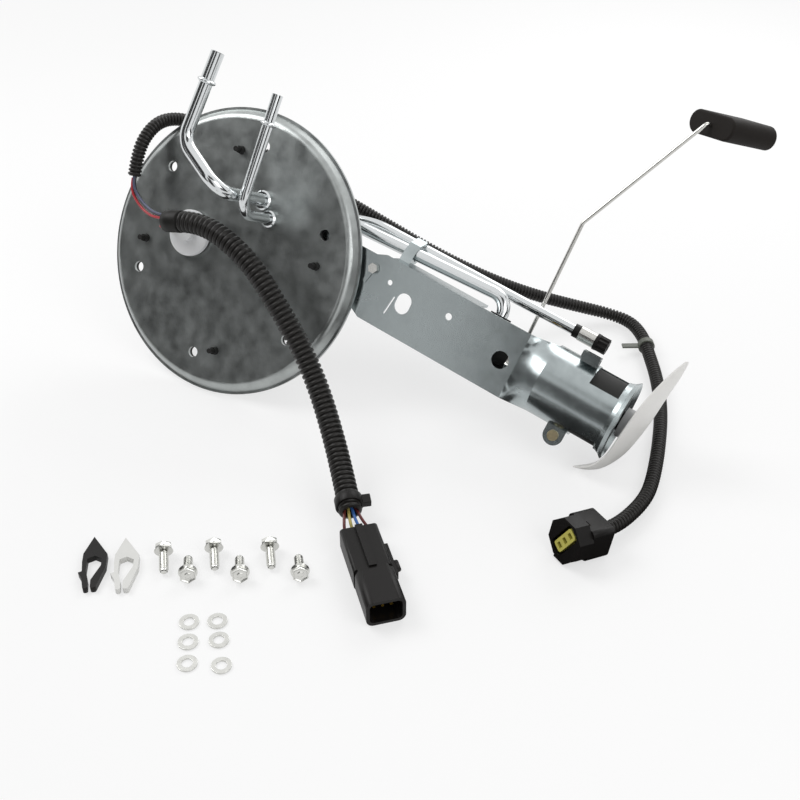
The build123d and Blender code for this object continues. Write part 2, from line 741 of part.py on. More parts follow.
with BuildPart() as pump_terminals:
    with BuildSketch(across(PUMP_BACK - 1)):
        with GridLocations(18, 1, 2, 1):
            Rectangle(0.8, 4)
    extrude(amount=-14)
with BuildPart() as brushes:
    with BuildSketch(across(BRUSH_RING - 1)):
        Rectangle(26, 4)
        Circle(COMMUTATOR + FIT, mode=Mode.SUBTRACT)
    extrude(amount=-4)
PLATE_BACK = INLET_FACE - 8
PLATE_FRONT = INLET_FACE - 4.5
IMPELLER_THICK = PLATE_FRONT - INLET_FACE + 2 * GAP
pump_plate = turned(
    [
        (PLATE_BACK, BORE_RADIUS),
        (PLATE_BACK, CAP_RADIUS),
        (PLATE_FRONT, CAP_RADIUS),
        (PLATE_FRONT, BORE_RADIUS),
    ]
)
CORE_BACK = BRUSH_RING + 3
CORE_FRONT = PLATE_BACK - 3
with BuildPart() as pump_magnets:
    with BuildSketch(across(CORE_BACK)):
        Circle(CAP_RADIUS)
        Circle(MAGNET_INNER, mode=Mode.SUBTRACT)
        Rectangle(3 * PUMP_RADIUS, MAGNET_SPACE, mode=Mode.SUBTRACT)
    extrude(amount=CORE_FRONT - CORE_BACK)
with BuildPart() as pump_rotor:
    with BuildSketch(across(CAP_FACE - 3.7)):
        Circle(SHAFT_RADIUS)
    extrude(amount=INLET_FACE - GAP - CAP_FACE + 3.7)
    with BuildSketch(across(CAP_FACE + 0.5)):
        Circle(COMMUTATOR)
    extrude(amount=5.5)
    with BuildSketch(across(CORE_BACK)):
        Circle(ROTOR_RADIUS)
        with PolarLocations(ROTOR_RADIUS - 2, 8):
            Rectangle(5, 2.0, mode=Mode.SUBTRACT)
    extrude(amount=CORE_FRONT - CORE_BACK)
with BuildPart() as pump_impeller:
    with BuildSketch(across(INLET_FACE - GAP)):
        Circle(IMPELLER_RADIUS)
        Circle(SHAFT_RADIUS, mode=Mode.SUBTRACT)
        with PolarLocations(IMPELLER_RADIUS, 24):
            Rectangle(3.2, 1.6, mode=Mode.SUBTRACT)
    extrude(amount=-(4.5 - 2 * GAP))
check_poppet = turned(
    [
        (VALVE_SEAT - 0.1, 0),
        (VALVE_SEAT - 0.1, POPPET_RADIUS - 0.4),
        (VALVE_SEAT - 1, POPPET_RADIUS),
        (VALVE_SEAT - 5, POPPET_RADIUS),
        (VALVE_SEAT - 5, 0),
    ]
)

# Moulded hose from the pump up to the feed tube, with two band clamps
hose_route = [
    BRACKET.from_local_coords((PUMP_BACK - HOSE_START, 0, 0)),
    BRACKET.from_local_coords((HOSE_BACK, 0, 0)),
    BRACKET.from_local_coords(hose_line(HOSE_TOP)),
]
with BuildPart() as outlet_hose:
    with BuildLine() as hose_path:
        FilletPolyline(*hose_route, radius=HOSE_BEND)
    with BuildSketch(across(PUMP_BACK - HOSE_START)):
        Circle(HOSE_RADIUS)
        Circle(FEED_RADIUS + FIT, mode=Mode.SUBTRACT)
    sweep(path=hose_path.line)
hose_top = Plane(origin=hose_route[2], z_dir=hose_route[1] - hose_route[2])
hose_bottom = Plane(origin=hose_route[0], z_dir=hose_route[1] - hose_route[0])


def band_clamp(end, start):
    """A steel band round the hose, with its pinched ear."""
    with BuildPart() as made:
        with BuildSketch(end.offset(start)):
            Circle(HOSE_RADIUS + CLAMP_WALL)
            with Locations((0, HOSE_RADIUS + 1.4)):
                Rectangle(5, 2.8)
            Circle(HOSE_RADIUS + FIT, mode=Mode.SUBTRACT)
        extrude(amount=CLAMP_WIDTH)
    return made


clamp_top = band_clamp(hose_top, 1.5)
clamp_bottom = band_clamp(hose_bottom, 3.0)

# Strainer: a felt leaf on a plastic port, leaning over and curling under the sleeve
LEAN = radians(STRAINER_LEAN)
LEAF = inside(BRACKET, (0, 0, 0), (cos(LEAN), 0, sin(LEAN)), (-sin(LEAN), 0, cos(LEAN)))
HALF_FELT = STRAINER_THICK / 2


def leaf_side(amount):
    """The leaf's middle line, moved out of the sleeve by an amount; the leaf stays as thick all along."""
    return [(x + amount, y - amount / 2) for x, y in STRAINER_LINE]


with BuildPart() as strainer:
    with BuildSketch(LEAF.offset(-STRAINER_HALF)):
        with BuildLine():
            right = Spline(*leaf_side(HALF_FELT))
            left = Spline(*leaf_side(-HALF_FELT))
            Line(right @ 0, left @ 0)
            Line(right @ 1, left @ 1)
        make_face()
    extrude(amount=2 * STRAINER_HALF)
    leaf_top = STRAINER_LINE[0][1] + HALF_FELT
    leaf_foot = STRAINER_LINE[-1][1] - HALF_FELT
    with BuildSketch(inside(LEAF, (-2 * STRAINER_HALF, 0, 0), (0, 1, 0), (1, 0, 0))):
        with BuildLine():
            near = ThreePointArc((leaf_foot, STRAINER_HALF / 2), (4, STRAINER_HALF), (leaf_top, 2))
            far = ThreePointArc((leaf_foot, 1), (4, -STRAINER_HALF), (leaf_top, -2))
            Line(near @ 0, far @ 0)
            Line(near @ 1, far @ 1)
        make_face()
    extrude(amount=4 * STRAINER_HALF, mode=Mode.INTERSECT)
with BuildPart() as strainer_port:
    with BuildSketch(across(PORT_START)):
        Circle(PORT_RADIUS)
        Circle(INLET_RADIUS + FIT, mode=Mode.SUBTRACT)
    extrude(amount=2 * STRAINER_HALF)
    with BuildSketch(LEAF.offset(-2 * STRAINER_HALF)):
        with BuildLine():
            cut = Spline(*leaf_side(-HALF_FELT - GAP))
            Polyline(cut @ 0, (4 * STRAINER_HALF, leaf_top), (4 * STRAINER_HALF, leaf_foot), cut @ 1)
        make_face()
    extrude(amount=4 * STRAINER_HALF, mode=Mode.SUBTRACT)

# Level sender on the lower wing, with its float on a hinged wire arm
PIVOT = (PIVOT_X, PIVOT_Y)
PIN_DEPTH = SENDER_DEPTH - 1.0
with BuildPart() as sender_housing:
    with BuildSketch(BRACKET.offset(SENDER_REAR)):
        with Locations((SENDER_CENTRE, (SENDER_BOTTOM + SENDER_TOP) / 2)):
            RectangleRounded(SENDER_LENGTH, SENDER_TOP - SENDER_BOTTOM, 2)
    extrude(amount=SENDER_DEPTH)
    with BuildSketch(BRACKET.offset(SENDER_REAR)):
        with Locations(PIVOT):
            Circle(PIVOT_RADIUS + SHAFT_CLEARANCE)
    extrude(amount=PIN_DEPTH + GAP, mode=Mode.SUBTRACT)
    with BuildSketch(BRACKET.offset(SENDER_REAR)):
        with Locations(CARD_CENTRE):
            Rectangle(CARD_LENGTH, CARD_HEIGHT)
    extrude(amount=CARD_THICK, mode=Mode.SUBTRACT)
with BuildPart() as sender_card:
    with BuildSketch(BRACKET.offset(SENDER_REAR)):
        with Locations(CARD_CENTRE):
            Rectangle(CARD_LENGTH - 2 * FIT, CARD_HEIGHT - 2 * FIT)
    extrude(amount=CARD_THICK)
HUB_FACE = SENDER_REAR - GAP
ARM_Z = HUB_FACE - HUB_THICK / 2
FLOAT_AXIS = (0.603, 0.209, -0.770)
FLOAT_LONG = (0.778, 0.060, 0.625)
FLOAT_AT = (-38.4, 166.4, ARM_Z - 1)
float_plane = inside(BRACKET, FLOAT_AT, FLOAT_LONG, FLOAT_AXIS)
arm_local = [
    (PIVOT_X, PIVOT_Y, ARM_Z),
    (-76.3, 86.9, ARM_Z),
    tuple(at - 3 * step for at, step in zip(FLOAT_AT, FLOAT_AXIS)),
    tuple(at + 9 * step for at, step in zip(FLOAT_AT, FLOAT_AXIS)),
]
arm_route = [BRACKET.from_local_coords(point) for point in arm_local]
with BuildPart() as float_arm:
    with BuildLine() as arm_path:
        FilletPolyline(*arm_route, radius=[6, 2.5])
    with BuildSketch(Plane(origin=arm_route[0], z_dir=arm_route[1] - arm_route[0])):
        Circle(ARM_RADIUS)
    sweep(path=arm_path.line)
    with BuildSketch(BRACKET.offset(HUB_FACE)):
        with Locations(PIVOT):
            Circle(HUB_RADIUS)
    extrude(amount=-HUB_THICK)
    with BuildSketch(BRACKET.offset(HUB_FACE)):
        with Locations(PIVOT):
            Circle(PIVOT_RADIUS)
    extrude(amount=GAP + PIN_DEPTH)
    with BuildSketch(BRACKET.offset(HUB_FACE)):
        with Locations((PIVOT_X - 8, PIVOT_Y - 3)):
            Rectangle(13, 3, rotation=20)
    extrude(amount=-CARD_THICK)
with BuildPart() as sender_float:
    with BuildSketch(float_plane):
        SlotOverall(FLOAT_STADIUM, FLOAT_THICK)
    extrude(amount=FLOAT_DEPTH)
    float_faces = sender_float.faces().sort_by(Axis(float_plane.origin, float_plane.z_dir))
    fillet(float_faces[0].edges() + float_faces[-1].edges(), 1.5)
    with BuildSketch(float_plane):
        Circle(ARM_RADIUS + FIT)
    extrude(amount=9.5, mode=Mode.SUBTRACT)


def cord(points, radius, start=None):
    """A plain tube along straight runs and tangent arcs."""
    radii = bend_radii(points)
    print("bend radii", [round(value, 1) for value in radii])
    with BuildPart() as made:
        with BuildLine() as path:
            FilletPolyline(*points, radius=radii)
        with BuildSketch(Plane(origin=points[0], z_dir=Vector(*points[1]) - Vector(*points[0]))):
            Circle(radius)
        sweep(path=path.line)
    length = sum(edge.length for edge in path.edges())
    print("volume against section times length", round(made.part.volume / (pi * radius**2 * length), 4))
    return made


def on_table(points):
    return [tuple(TABLE.from_local_coords(point)) for point in points]


def on_flange(points):
    return [tuple(FLANGE.from_local_coords(point)) for point in points]


MAIN_ROUTE = [
    (-31, -17, 100),
    (-15, -17.5, 104.5),
    (1, -18, 105.5),
    (17, -20, 102),
    (37, -23.5, 92.5),
    (58, -30, 75.5),
    (78, -36, 56),
    (96, -46, 39),
    (115.5, -62.5, 25),
    (133, -80, 16),
    (150, -99, 12),
]
main_conduit = cord(on_table(MAIN_ROUTE), MAIN_CONDUIT)
BRANCH_ROUTE = [
    (-66, -3, 115),
    (-67, 3, 125.5),
    (-67.5, 12, 134.5),
    (-67, 25, 139.5),
    (-64.5, 38, 138),
    (-58.5, 51, 131.5),
    (-47, 66, 120),
    (-27, 77, 107),
    (-1, 84.5, 94.5),
    (28, 88, 83.5),
    (61, 89, 73),
    (91.5, 94, 60),
    (120.5, 110, 42),
    (147, 130, 26),
    (171, 150, 14),
    (192, 163, 7),
    (208, 162, 6),
    (221, 149.5, 6),
    (230, 135, 6),
    (246, 109.5, 5),
    (260, 79, 5),
    (271.5, 43, 5),
    (279, 12, 5),
    (280, -4, 5.5),
    (277.5, -22, 6.5),
    (273.28, -35.63, 7.8),
    (269.52, -42.46, 9.39),
]
branch_conduit = cord(on_table(BRANCH_ROUTE), BRANCH_CONDUIT)
BUNDLE_ROUTE = [(-32.2, -0.7, 23.8), (-36.8, -2.6, 22.6), (-38.2, -3.3, 18.0), (-38.2, -3.3, 7.25)]
BRANCH_WIRE_ROUTE = [
    (-34.5, 4.3, 23.7),
    (-43, 1.6, 21.5),
    (-53, 1.4, 18.5),
    (-62.5, 4.0, 17.6),
    (-69.565, 8.502, 17.891),
    (-71.311, 14.215, 17.877),
]
PLUG_WIRE_ROUTE = [(150.04, -99.04, 11.99), (153.3, -102.7, 11.2), (157.4, -104.9, 7), (160.27, -107.67, 7)]

main_wires = cord(on_flange(BUNDLE_ROUTE), MAIN_BUNDLE)
branch_wires = cord(on_flange(BRANCH_WIRE_ROUTE), BRANCH_BUNDLE)
plug_wires = cord(on_table(PLUG_WIRE_ROUTE), PLUG_BUNDLE)

# Main connector on the end of its conduit
MAIN_PLUG = inside(TABLE, (160.3, -107.7, 0), (0.72, -0.695, 0))
PLUG_WIDTH = 20.4
PLUG_HEIGHT = 14.0
PLUG_LENGTH = 31.0
SHROUD_LENGTH = 26.0
SHROUD_WALL = 1.8
SHROUD_HEIGHT = 16.0


def plug_section(frame, x, z):
    """A plane across a plug; its own x and y are the plug's y and z."""
    return inside(frame, (x, 0, z), (0, 1, 0), (1, 0, 0))


with BuildPart() as main_connector:
    with BuildSketch(plug_section(MAIN_PLUG, 0, PLUG_HEIGHT / 2)):
        RectangleRounded(PLUG_WIDTH, PLUG_HEIGHT, 2)
        with Locations((0, PLUG_HEIGHT / 2)):
            Rectangle(4, 3)
    extrude(amount=PLUG_LENGTH)
    with BuildSketch(plug_section(MAIN_PLUG, PLUG_LENGTH, SHROUD_HEIGHT / 2)):
        RectangleRounded(PLUG_WIDTH - 3, SHROUD_HEIGHT - 3, 2)
    extrude(amount=3)
    with BuildSketch(plug_section(MAIN_PLUG, PLUG_LENGTH + 3, SHROUD_HEIGHT / 2)):
        RectangleRounded(PLUG_WIDTH, SHROUD_HEIGHT, 4)
    extrude(amount=SHROUD_LENGTH - 3)
    with BuildSketch(plug_section(MAIN_PLUG, PLUG_LENGTH + SHROUD_LENGTH, SHROUD_HEIGHT / 2)):
        RectangleRounded(PLUG_WIDTH - 2 * SHROUD_WALL, SHROUD_HEIGHT - 2 * SHROUD_WALL, 2.4)
    extrude(amount=-SHROUD_LENGTH + 6, mode=Mode.SUBTRACT)
    with BuildSketch(plug_section(MAIN_PLUG, PLUG_LENGTH + 6, SHROUD_HEIGHT / 2)):
        with GridLocations(4.5, 5, 3, 2):
            Circle(PIN_RADIUS)
    extrude(amount=-5, mode=Mode.SUBTRACT)
with BuildPart() as main_terminals:
    with BuildSketch(plug_section(MAIN_PLUG, PLUG_LENGTH + 1, SHROUD_HEIGHT / 2)):
        with GridLocations(4.5, 5, 3, 2):
            Circle(PIN_RADIUS)
    extrude(amount=18)
with BuildPart() as connector_lock:
    with BuildSketch(plug_section(MAIN_PLUG, 12, 6)):
        with Locations((PLUG_WIDTH / 2 + 1.2, 1)):
            Rectangle(2.4, 5)
    extrude(amount=22)
    with BuildSketch(plug_section(MAIN_PLUG, 24, 6)):
        with Locations((PLUG_WIDTH / 2 + 3.4, 1)):
            Circle(1.6)
    extrude(amount=6)

# Tab clip round the main conduit, just before the connector
clip_from = Vector(*MAIN_ROUTE[-2])
clip_along = Vector(*MAIN_ROUTE[-1]) - clip_from
clip_plane = Plane(
    origin=TABLE.from_local_coords(tuple(clip_from + clip_along * 0.62)),
    x_dir=clip_along.cross(Vector(0, 0, 1)),
    z_dir=clip_along,
)
with BuildPart() as conduit_clip:
    with BuildSketch(clip_plane):
        Circle(MAIN_CONDUIT + 1.2)
        with Locations((-MAIN_CONDUIT - 2.5, 0)):
            Rectangle(6, 4)
        Circle(MAIN_CONDUIT + FIT, mode=Mode.SUBTRACT)
    extrude(amount=6)

# Branch connector with its insert, and the tie on the branch conduit
BRANCH_PLUG = inside(TABLE, (269.5, -42.5, 9.4), (-0.472, -0.859, 0.2), (0.0963, 0.1753, 0.980))
BRANCH_WIDTH = 21.0
BRANCH_HEIGHT = 19.0
BRANCH_HEAD = 12.6
BRANCH_BODY = 14.5
HEAD_LENGTH = 9.5
KEY_TURN = radians(62)
KEY = inside(BRANCH_PLUG, (0, 0, 0), (1, 0, 0), (0, -sin(KEY_TURN), cos(KEY_TURN)))
KEY_LENGTH = 20.0
KEY_WIDTH = 9.5
KEY_ROOM = 1.5
TERMINAL_PITCH = 5.4
HEAD_FACE = BRANCH_BODY + HEAD_LENGTH
with BuildPart() as branch_connector:
    with BuildSketch(plug_section(BRANCH_PLUG, 0, 0)):
        RectangleRounded(BRANCH_WIDTH, BRANCH_HEIGHT, 3)
    extrude(amount=BRANCH_BODY)
    with BuildSketch(plug_section(BRANCH_PLUG, BRANCH_BODY, 0)):
        RegularPolygon(BRANCH_HEAD, 8, rotation=22.5)
    extrude(amount=HEAD_LENGTH)
    with BuildSketch(plug_section(BRANCH_PLUG, HEAD_FACE - 5, 0)):
        with Locations((0, 1 - BRANCH_HEAD)):
            Rectangle(8, 3)
    extrude(amount=5)
    with BuildSketch(plug_section(KEY, HEAD_FACE, 0)):
        RectangleRounded(KEY_LENGTH, KEY_WIDTH, 2)
    extrude(amount=-HEAD_LENGTH - 3, mode=Mode.SUBTRACT)
with BuildPart() as branch_insert:
    with BuildSketch(plug_section(KEY, BRANCH_BODY - 3, 0)):
        RectangleRounded(KEY_LENGTH - 2 * KEY_ROOM, KEY_WIDTH - 2 * KEY_ROOM, 1.5)
    extrude(amount=HEAD_LENGTH + 2.5)
    with BuildSketch(plug_section(KEY, HEAD_FACE - 0.5, 0)):
        with GridLocations(TERMINAL_PITCH, 1, 3, 1):
            Rectangle(2.6, 3.4)
    extrude(amount=-7, mode=Mode.SUBTRACT)
tie_from = Vector(*BRANCH_ROUTE[17])
tie_along = Vector(*BRANCH_ROUTE[18]) - tie_from
tie_plane = Plane(
    origin=TABLE.from_local_coords(tuple(tie_from + tie_along * 0.5)),
    x_dir=Vector(0, 0, 1).cross(tie_along),
    z_dir=tie_along,
)
with BuildPart() as conduit_tie:
    with BuildSketch(tie_plane):
        Circle(BRANCH_CONDUIT + 1.1)
        with Locations((-BRANCH_CONDUIT - 6, 0)):
            Rectangle(11, 1.2)
        Circle(BRANCH_CONDUIT + FIT, mode=Mode.SUBTRACT)
    extrude(amount=4)

# Loose screws: each lies on the rim of its head and the tip of its shank
TIP_DROP = atan2(THREAD_RADIUS, SCREW_LENGTH)
SHANK_WAY = (0.63, -0.777)
SCREWS_AWAY = [(77.5, -168.0), (98.7, -152.7), (123.5, -137.0)]
SCREWS_NEAR = [(97.8, -173.2), (120.8, -159.5), (147.0, -143.2)]
screw_frames = [(x, y, 1) for x, y in SCREWS_AWAY] + [(x, y, -1) for x, y in SCREWS_NEAR]
with BuildPart() as screws:
    for x, y, way in screw_frames:
        lying = inside(
            TABLE,
            (x, y, SCREW_FLANGE * cos(TIP_DROP)),
            (SHANK_WAY[1] * way, -SHANK_WAY[0] * way, 0),
            (SHANK_WAY[0] * way * cos(TIP_DROP), SHANK_WAY[1] * way * cos(TIP_DROP), -sin(TIP_DROP)),
        )
        with BuildSketch(lying):
            Circle(THREAD_RADIUS)
        extrude(amount=SCREW_LENGTH)
        with BuildSketch(lying):
            Circle(SCREW_FLANGE)
        extrude(amount=-1.0)
        with BuildSketch(lying.offset(-1.0)):
            RegularPolygon(HEX_ACROSS / 2, 6, major_radius=False)
        extrude(amount=1.0 - HEAD_HEIGHT)

WASHER_SPOTS = [(128.7, -189.1), (117.0, -196.8), (136.9, -198.5), (124.7, -207.1), (132.8, -217.8), (147.7, -210.5)]
with BuildPart() as washers:
    with BuildSketch(TABLE):
        with Locations(*WASHER_SPOTS):
            Circle(WASHER_RADIUS)
            Circle(WASHER_BORE, mode=Mode.SUBTRACT)
    extrude(amount=WASHER_THICK)


def retaining_clip(x, y):
    """A duck-bill clip: a pointed bill and two sprung legs, one with a barb."""
    frame = inside(TABLE, (x, y, 0), (0.777, 0.63, 0))
    with BuildPart() as made:
        with BuildSketch(frame) as outline:
            with BuildLine():
                Polyline(
                    (-1.9, 37.6),
                    (5.6, 23.6),
                    (5.2, 14.5),
                    (0.6, 0),
                    (-2.1, 0),
                    (-2.1, 5.7),
                    (0.5, 11.2),
                    (2.6, 15.5),
                    (2.9, 20.5),
                    (-0.8, 23),
                    (-4.5, 21.5),
                    (-4.9, 13),
                    (-3.5, 6),
                    (-3.3, 0),
                    (-5.8, 0),
                    (-6.8, 7.5),
                    (-8.8, 11.9),
                    (-6.9, 12.6),
                    (-7.2, 19.5),
                    (-6.9, 25.5),
                    close=True,
                )
            make_face()
            fillet(outline.vertices().group_by(Axis.Y)[0], 1.1)
        extrude(amount=CLIP_THICK)
    return made


clip_black = retaining_clip(62.5, -205.0)
clip_white = retaining_clip(77.3, -197.0)

pieces = {
    "flange_plate": flange_plate,
    "flange_gasket": flange_gasket,
    "bulkhead": bulkhead,
    "bulkhead_seal": bulkhead_seal,
    "bulkhead_pins": bulkhead_pins,
    "feed_tube": feed_tube,
    "return_tube": return_tube,
    "feed_ferrule": feed_ferrule,
    "return_ferrule": return_ferrule,
    "bracket": bracket,
    "bracket_foot": bracket_foot,
    "ground_screw": ground_screw,
    "ground_lug": ground_lug,
    "ear_rivet": ear_rivet,
    "tube_clip": tube_clip,
    "return_valve": return_valve,
    "valve_band": valve_band,
    "pump_isolator": pump_isolator,
    "pump_can": pump_can,
    "pump_inlet_cap": pump_inlet_cap,
    "pump_outlet_cap": pump_outlet_cap,
    "pump_terminals": pump_terminals,
    "pump_plate": pump_plate,
    "pump_magnets": pump_magnets,
    "brushes": brushes,
    "pump_rotor": pump_rotor,
    "pump_impeller": pump_impeller,
    "check_poppet": check_poppet,
    "outlet_hose": outlet_hose,
    "clamp_top": clamp_top,
    "clamp_bottom": clamp_bottom,
    "strainer": strainer,
    "strainer_port": strainer_port,
    "sender_housing": sender_housing,
    "sender_card": sender_card,
    "float_arm": float_arm,
    "sender_float": sender_float,
    "main_wires": main_wires,
    "main_conduit": main_conduit,
    "main_connector": main_connector,
    "main_terminals": main_terminals,
    "connector_lock": connector_lock,
    "conduit_clip": conduit_clip,
    "branch_wires": branch_wires,
    "plug_wires": plug_wires,
    "branch_conduit": branch_conduit,
    "branch_connector": branch_connector,
    "branch_insert": branch_insert,
    "conduit_tie": conduit_tie,
    "screws": screws,
    "washers": washers,
    "clip_black": clip_black,
    "clip_white": clip_white,
}
for name, piece in pieces.items():
    piece.part.label = name
    export_step(piece.part, "parts/" + name + ".step")
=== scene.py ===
from math import atan2, cos, pi, radians, sin, tan

import bpy
from mathutils import Matrix, Vector


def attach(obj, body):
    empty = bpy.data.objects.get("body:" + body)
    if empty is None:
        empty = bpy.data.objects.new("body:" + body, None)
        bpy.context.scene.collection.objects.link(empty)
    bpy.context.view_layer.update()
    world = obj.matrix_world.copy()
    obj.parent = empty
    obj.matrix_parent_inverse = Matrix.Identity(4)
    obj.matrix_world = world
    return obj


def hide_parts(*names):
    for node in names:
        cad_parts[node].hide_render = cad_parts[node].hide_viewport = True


bl_info = {
    "name": "Fuel pump module",
    "version": (1, 0, 0),
    "blender": (4, 5, 0),
    "location": "View3D > Sidebar > Fuel module",
    "description": "Dresses the packed fuel pump module, its harness and its loose hardware",
    "category": "Object",
}

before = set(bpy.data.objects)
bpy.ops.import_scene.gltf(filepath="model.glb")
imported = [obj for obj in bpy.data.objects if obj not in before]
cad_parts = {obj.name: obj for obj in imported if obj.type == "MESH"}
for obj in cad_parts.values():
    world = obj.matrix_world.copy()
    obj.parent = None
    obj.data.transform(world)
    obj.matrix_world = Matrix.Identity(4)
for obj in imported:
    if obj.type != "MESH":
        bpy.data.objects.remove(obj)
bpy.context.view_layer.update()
MM = 0.001

# Where the flange and the bracket stand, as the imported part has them: millimetres and degrees
FLANGE_X = -96.015
FLANGE_Y = 28.685
FLANGE_LEAN = 30.0
FLANGE_TURN = 2.37
FLANGE_ROLL = -13.42
FLANGE_RADIUS = 88.0
SKIRT_DEPTH = 7.0
BRACKET_AT = (253.7, 24.5, -39.5)
BRACKET_TILT = 5.0


def linear(colour):
    """An sRGB hex colour as the linear red, green and blue that nodes work in."""
    parts = [int(colour[i : i + 2], 16) / 255 for i in (1, 3, 5)]
    return tuple(c / 12.92 if c <= 0.04045 else ((c + 0.055) / 1.055) ** 2.4 for c in parts)


def axes(origin, x_axis, z_axis):
    """A matrix from a local frame to the row frame, both in millimetres."""
    z_axis = Vector(z_axis).normalized()
    x_axis = Vector(x_axis).normalized()
    y_axis = z_axis.cross(x_axis)
    made = Matrix((x_axis, y_axis, z_axis)).transposed().to_4x4()
    made.translation = origin
    return made


def within(outer, at, x_axis=(1, 0, 0), z_axis=(0, 0, 1)):
    """A frame given in the coordinates of another frame."""
    turn = outer.to_3x3()
    return axes(outer @ Vector(at), turn @ Vector(x_axis), turn @ Vector(z_axis))


LEAN = radians(FLANGE_LEAN)
TURN = radians(FLANGE_TURN)
NORMAL = Vector((sin(TURN) * cos(LEAN), -cos(TURN) * cos(LEAN), sin(LEAN)))
LEVEL = Matrix.Rotation(radians(FLANGE_ROLL), 3, NORMAL) @ Vector((cos(TURN), sin(TURN), 0))
TABLE = Matrix.Translation((FLANGE_X, FLANGE_Y, 0))
FLANGE = axes((FLANGE_X, FLANGE_Y, FLANGE_RADIUS * cos(LEAN) + SKIRT_DEPTH * sin(LEAN)), LEVEL, NORMAL)
TILT = radians(BRACKET_TILT)
BRACKET = within(FLANGE, BRACKET_AT, (cos(TILT), 0, -sin(TILT)), (sin(TILT), 0, cos(TILT)))


def placed(outer, points):
    """Points of a local frame in millimetres, as row-frame points in metres."""
    return [(outer @ Vector(point)) * MM for point in points]


# Routes of the cords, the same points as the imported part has
MAIN_ROUTE = [
    (-31, -17, 100),
    (-15, -17.5, 104.5),
    (1, -18, 105.5),
    (17, -20, 102),
    (37, -23.5, 92.5),
    (58, -30, 75.5),
    (78, -36, 56),
    (96, -46, 39),
    (115.5, -62.5, 25),
    (133, -80, 16),
    (150, -99, 12),
]
BRANCH_ROUTE = [
    (-66, -3, 115),
    (-67, 3, 125.5),
    (-67.5, 12, 134.5),
    (-67, 25, 139.5),
    (-64.5, 38, 138),
    (-58.5, 51, 131.5),
    (-47, 66, 120),
    (-27, 77, 107),
    (-1, 84.5, 94.5),
    (28, 88, 83.5),
    (61, 89, 73),
    (91.5, 94, 60),
    (120.5, 110, 42),
    (147, 130, 26),
    (171, 150, 14),
    (192, 163, 7),
    (208, 162, 6),
    (221, 149.5, 6),
    (230, 135, 6),
    (246, 109.5, 5),
    (260, 79, 5),
    (271.5, 43, 5),
    (279, 12, 5),
    (280, -4, 5.5),
    (277.5, -22, 6.5),
    (273.28, -35.63, 7.8),
    (269.52, -42.46, 9.39),
]
BUNDLE_ROUTE = [(-32.2, -0.7, 23.8), (-36.8, -2.6, 22.6), (-38.2, -3.3, 18.0), (-38.2, -3.3, 7.25)]
BRANCH_WIRE_ROUTE = [
    (-34.5, 4.3, 23.7),
    (-43, 1.6, 21.5),
    (-53, 1.4, 18.5),
    (-62.5, 4.0, 17.6),
    (-69.565, 8.502, 17.891),
    (-71.311, 14.215, 17.877),
]
PLUG_WIRE_ROUTE = [(150.04, -99.04, 11.99), (153.3, -102.7, 11.2), (157.4, -104.9, 7), (160.27, -107.67, 7)]

# One rib of a conduit as shares of its pitch: the way along it, and the drop from its crest
RIB = ((0.0, 0.42), (0.16, 0.42), (0.34, 0.08), (0.58, 0.0), (0.82, 0.08))
# Wall and depth of the bore that shows at an end
CONDUIT_BORE = (0.9 * MM, 4 * MM)
TAPE_BORE = (1.5 * MM, 3 * MM)
# Two turns of tape on the main conduit: the way along it and the height over its crest, in mm
TAPE_TURNS = ((0.0, -0.3), (0.6, 0.15), (6.0, 0.3), (6.3, 0.15), (12.0, 0.3), (12.6, -0.2))
# The four leads at the bulkhead are drawn thinner and lie this far from their middle, as shares of a wire
LEAD_SHARE = 0.9
LEAD_OFFSET = 0.55

# The four wires to the branch conduit: finish, offset from their route, and how far each bows out, in mm
BRANCH_WIRES = (
    ("red wire", (0.0, -1.0, 0.7), 1.6),
    ("slate wire", (0.3, 0.9, 0.9), 0.4),
    ("black wire", (0.0, 0.9, -0.8), 1.0),
    ("white wire", (-0.2, -0.9, -0.9), 2.0),
)

# The way into the main plug and the way across its holes, and how far its leads fan out on their route, in mm
PLUG_WAY = (0.72, -0.695, 0)
PLUG_ACROSS = (0.695, 0.72, 0)
LEAD_FAN = (3.6, 4.6, 6.6, 7.4)
LEAD_IN_CONDUIT = 3.5
LEAD_IN_PLUG = 1.0

# Loose screws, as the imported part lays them: each rests on its flange and on its tip
SCREW_FLANGE_RADIUS = 5.0
SCREW_TIP_DROP = atan2(2.5, 13.0)
SHANK_WAY = (0.63, -0.777)
SCREW_SPOTS = [
    (77.5, -168.0, 1),
    (98.7, -152.7, 1),
    (123.5, -137.0, 1),
    (97.8, -173.2, -1),
    (120.8, -159.5, -1),
    (147.0, -143.2, -1),
]

# Strainer leaf: its lean over the bracket, its middle line from the side, and its two edges as arcs
LEAF_LEAN = radians(14.0)
LEAF = within(BRACKET, (0, 0, 0), (cos(LEAF_LEAN), 0, sin(LEAF_LEAN)), (-sin(LEAF_LEAN), 0, cos(LEAF_LEAN)))
LEAF_LINE = [(16.6, 47.5), (11.6, 24), (10.2, 8), (9.0, -6), (7.4, -19), (0.8, -31), (-8.6, -35.4)]
LEAF_NEAR = ((-36.8, 8.5), (4.0, 17.0), (48.0, 2.0))
LEAF_FAR = ((-36.8, 1.0), (4.0, -17.0), (48.0, -2.0))
# Half the thickness of the full pouch and of its welded rim, in mm
LEAF_THICK = 2.1
LEAF_RIM = 0.3


# Settings that a user would change


def colour_setting(name, hex_colour, description):
    return bpy.props.FloatVectorProperty(
        name=name,
        description=description,
        default=linear(hex_colour),
        size=3,
        min=0.0,
        max=1.0,
        subtype="COLOR",
    )


def size_setting(name, millimetres, description):
    return bpy.props.FloatProperty(
        name=name,
        description=description,
        default=millimetres * MM,
        min=0.0001,
        subtype="DISTANCE",
        unit="LENGTH",
    )


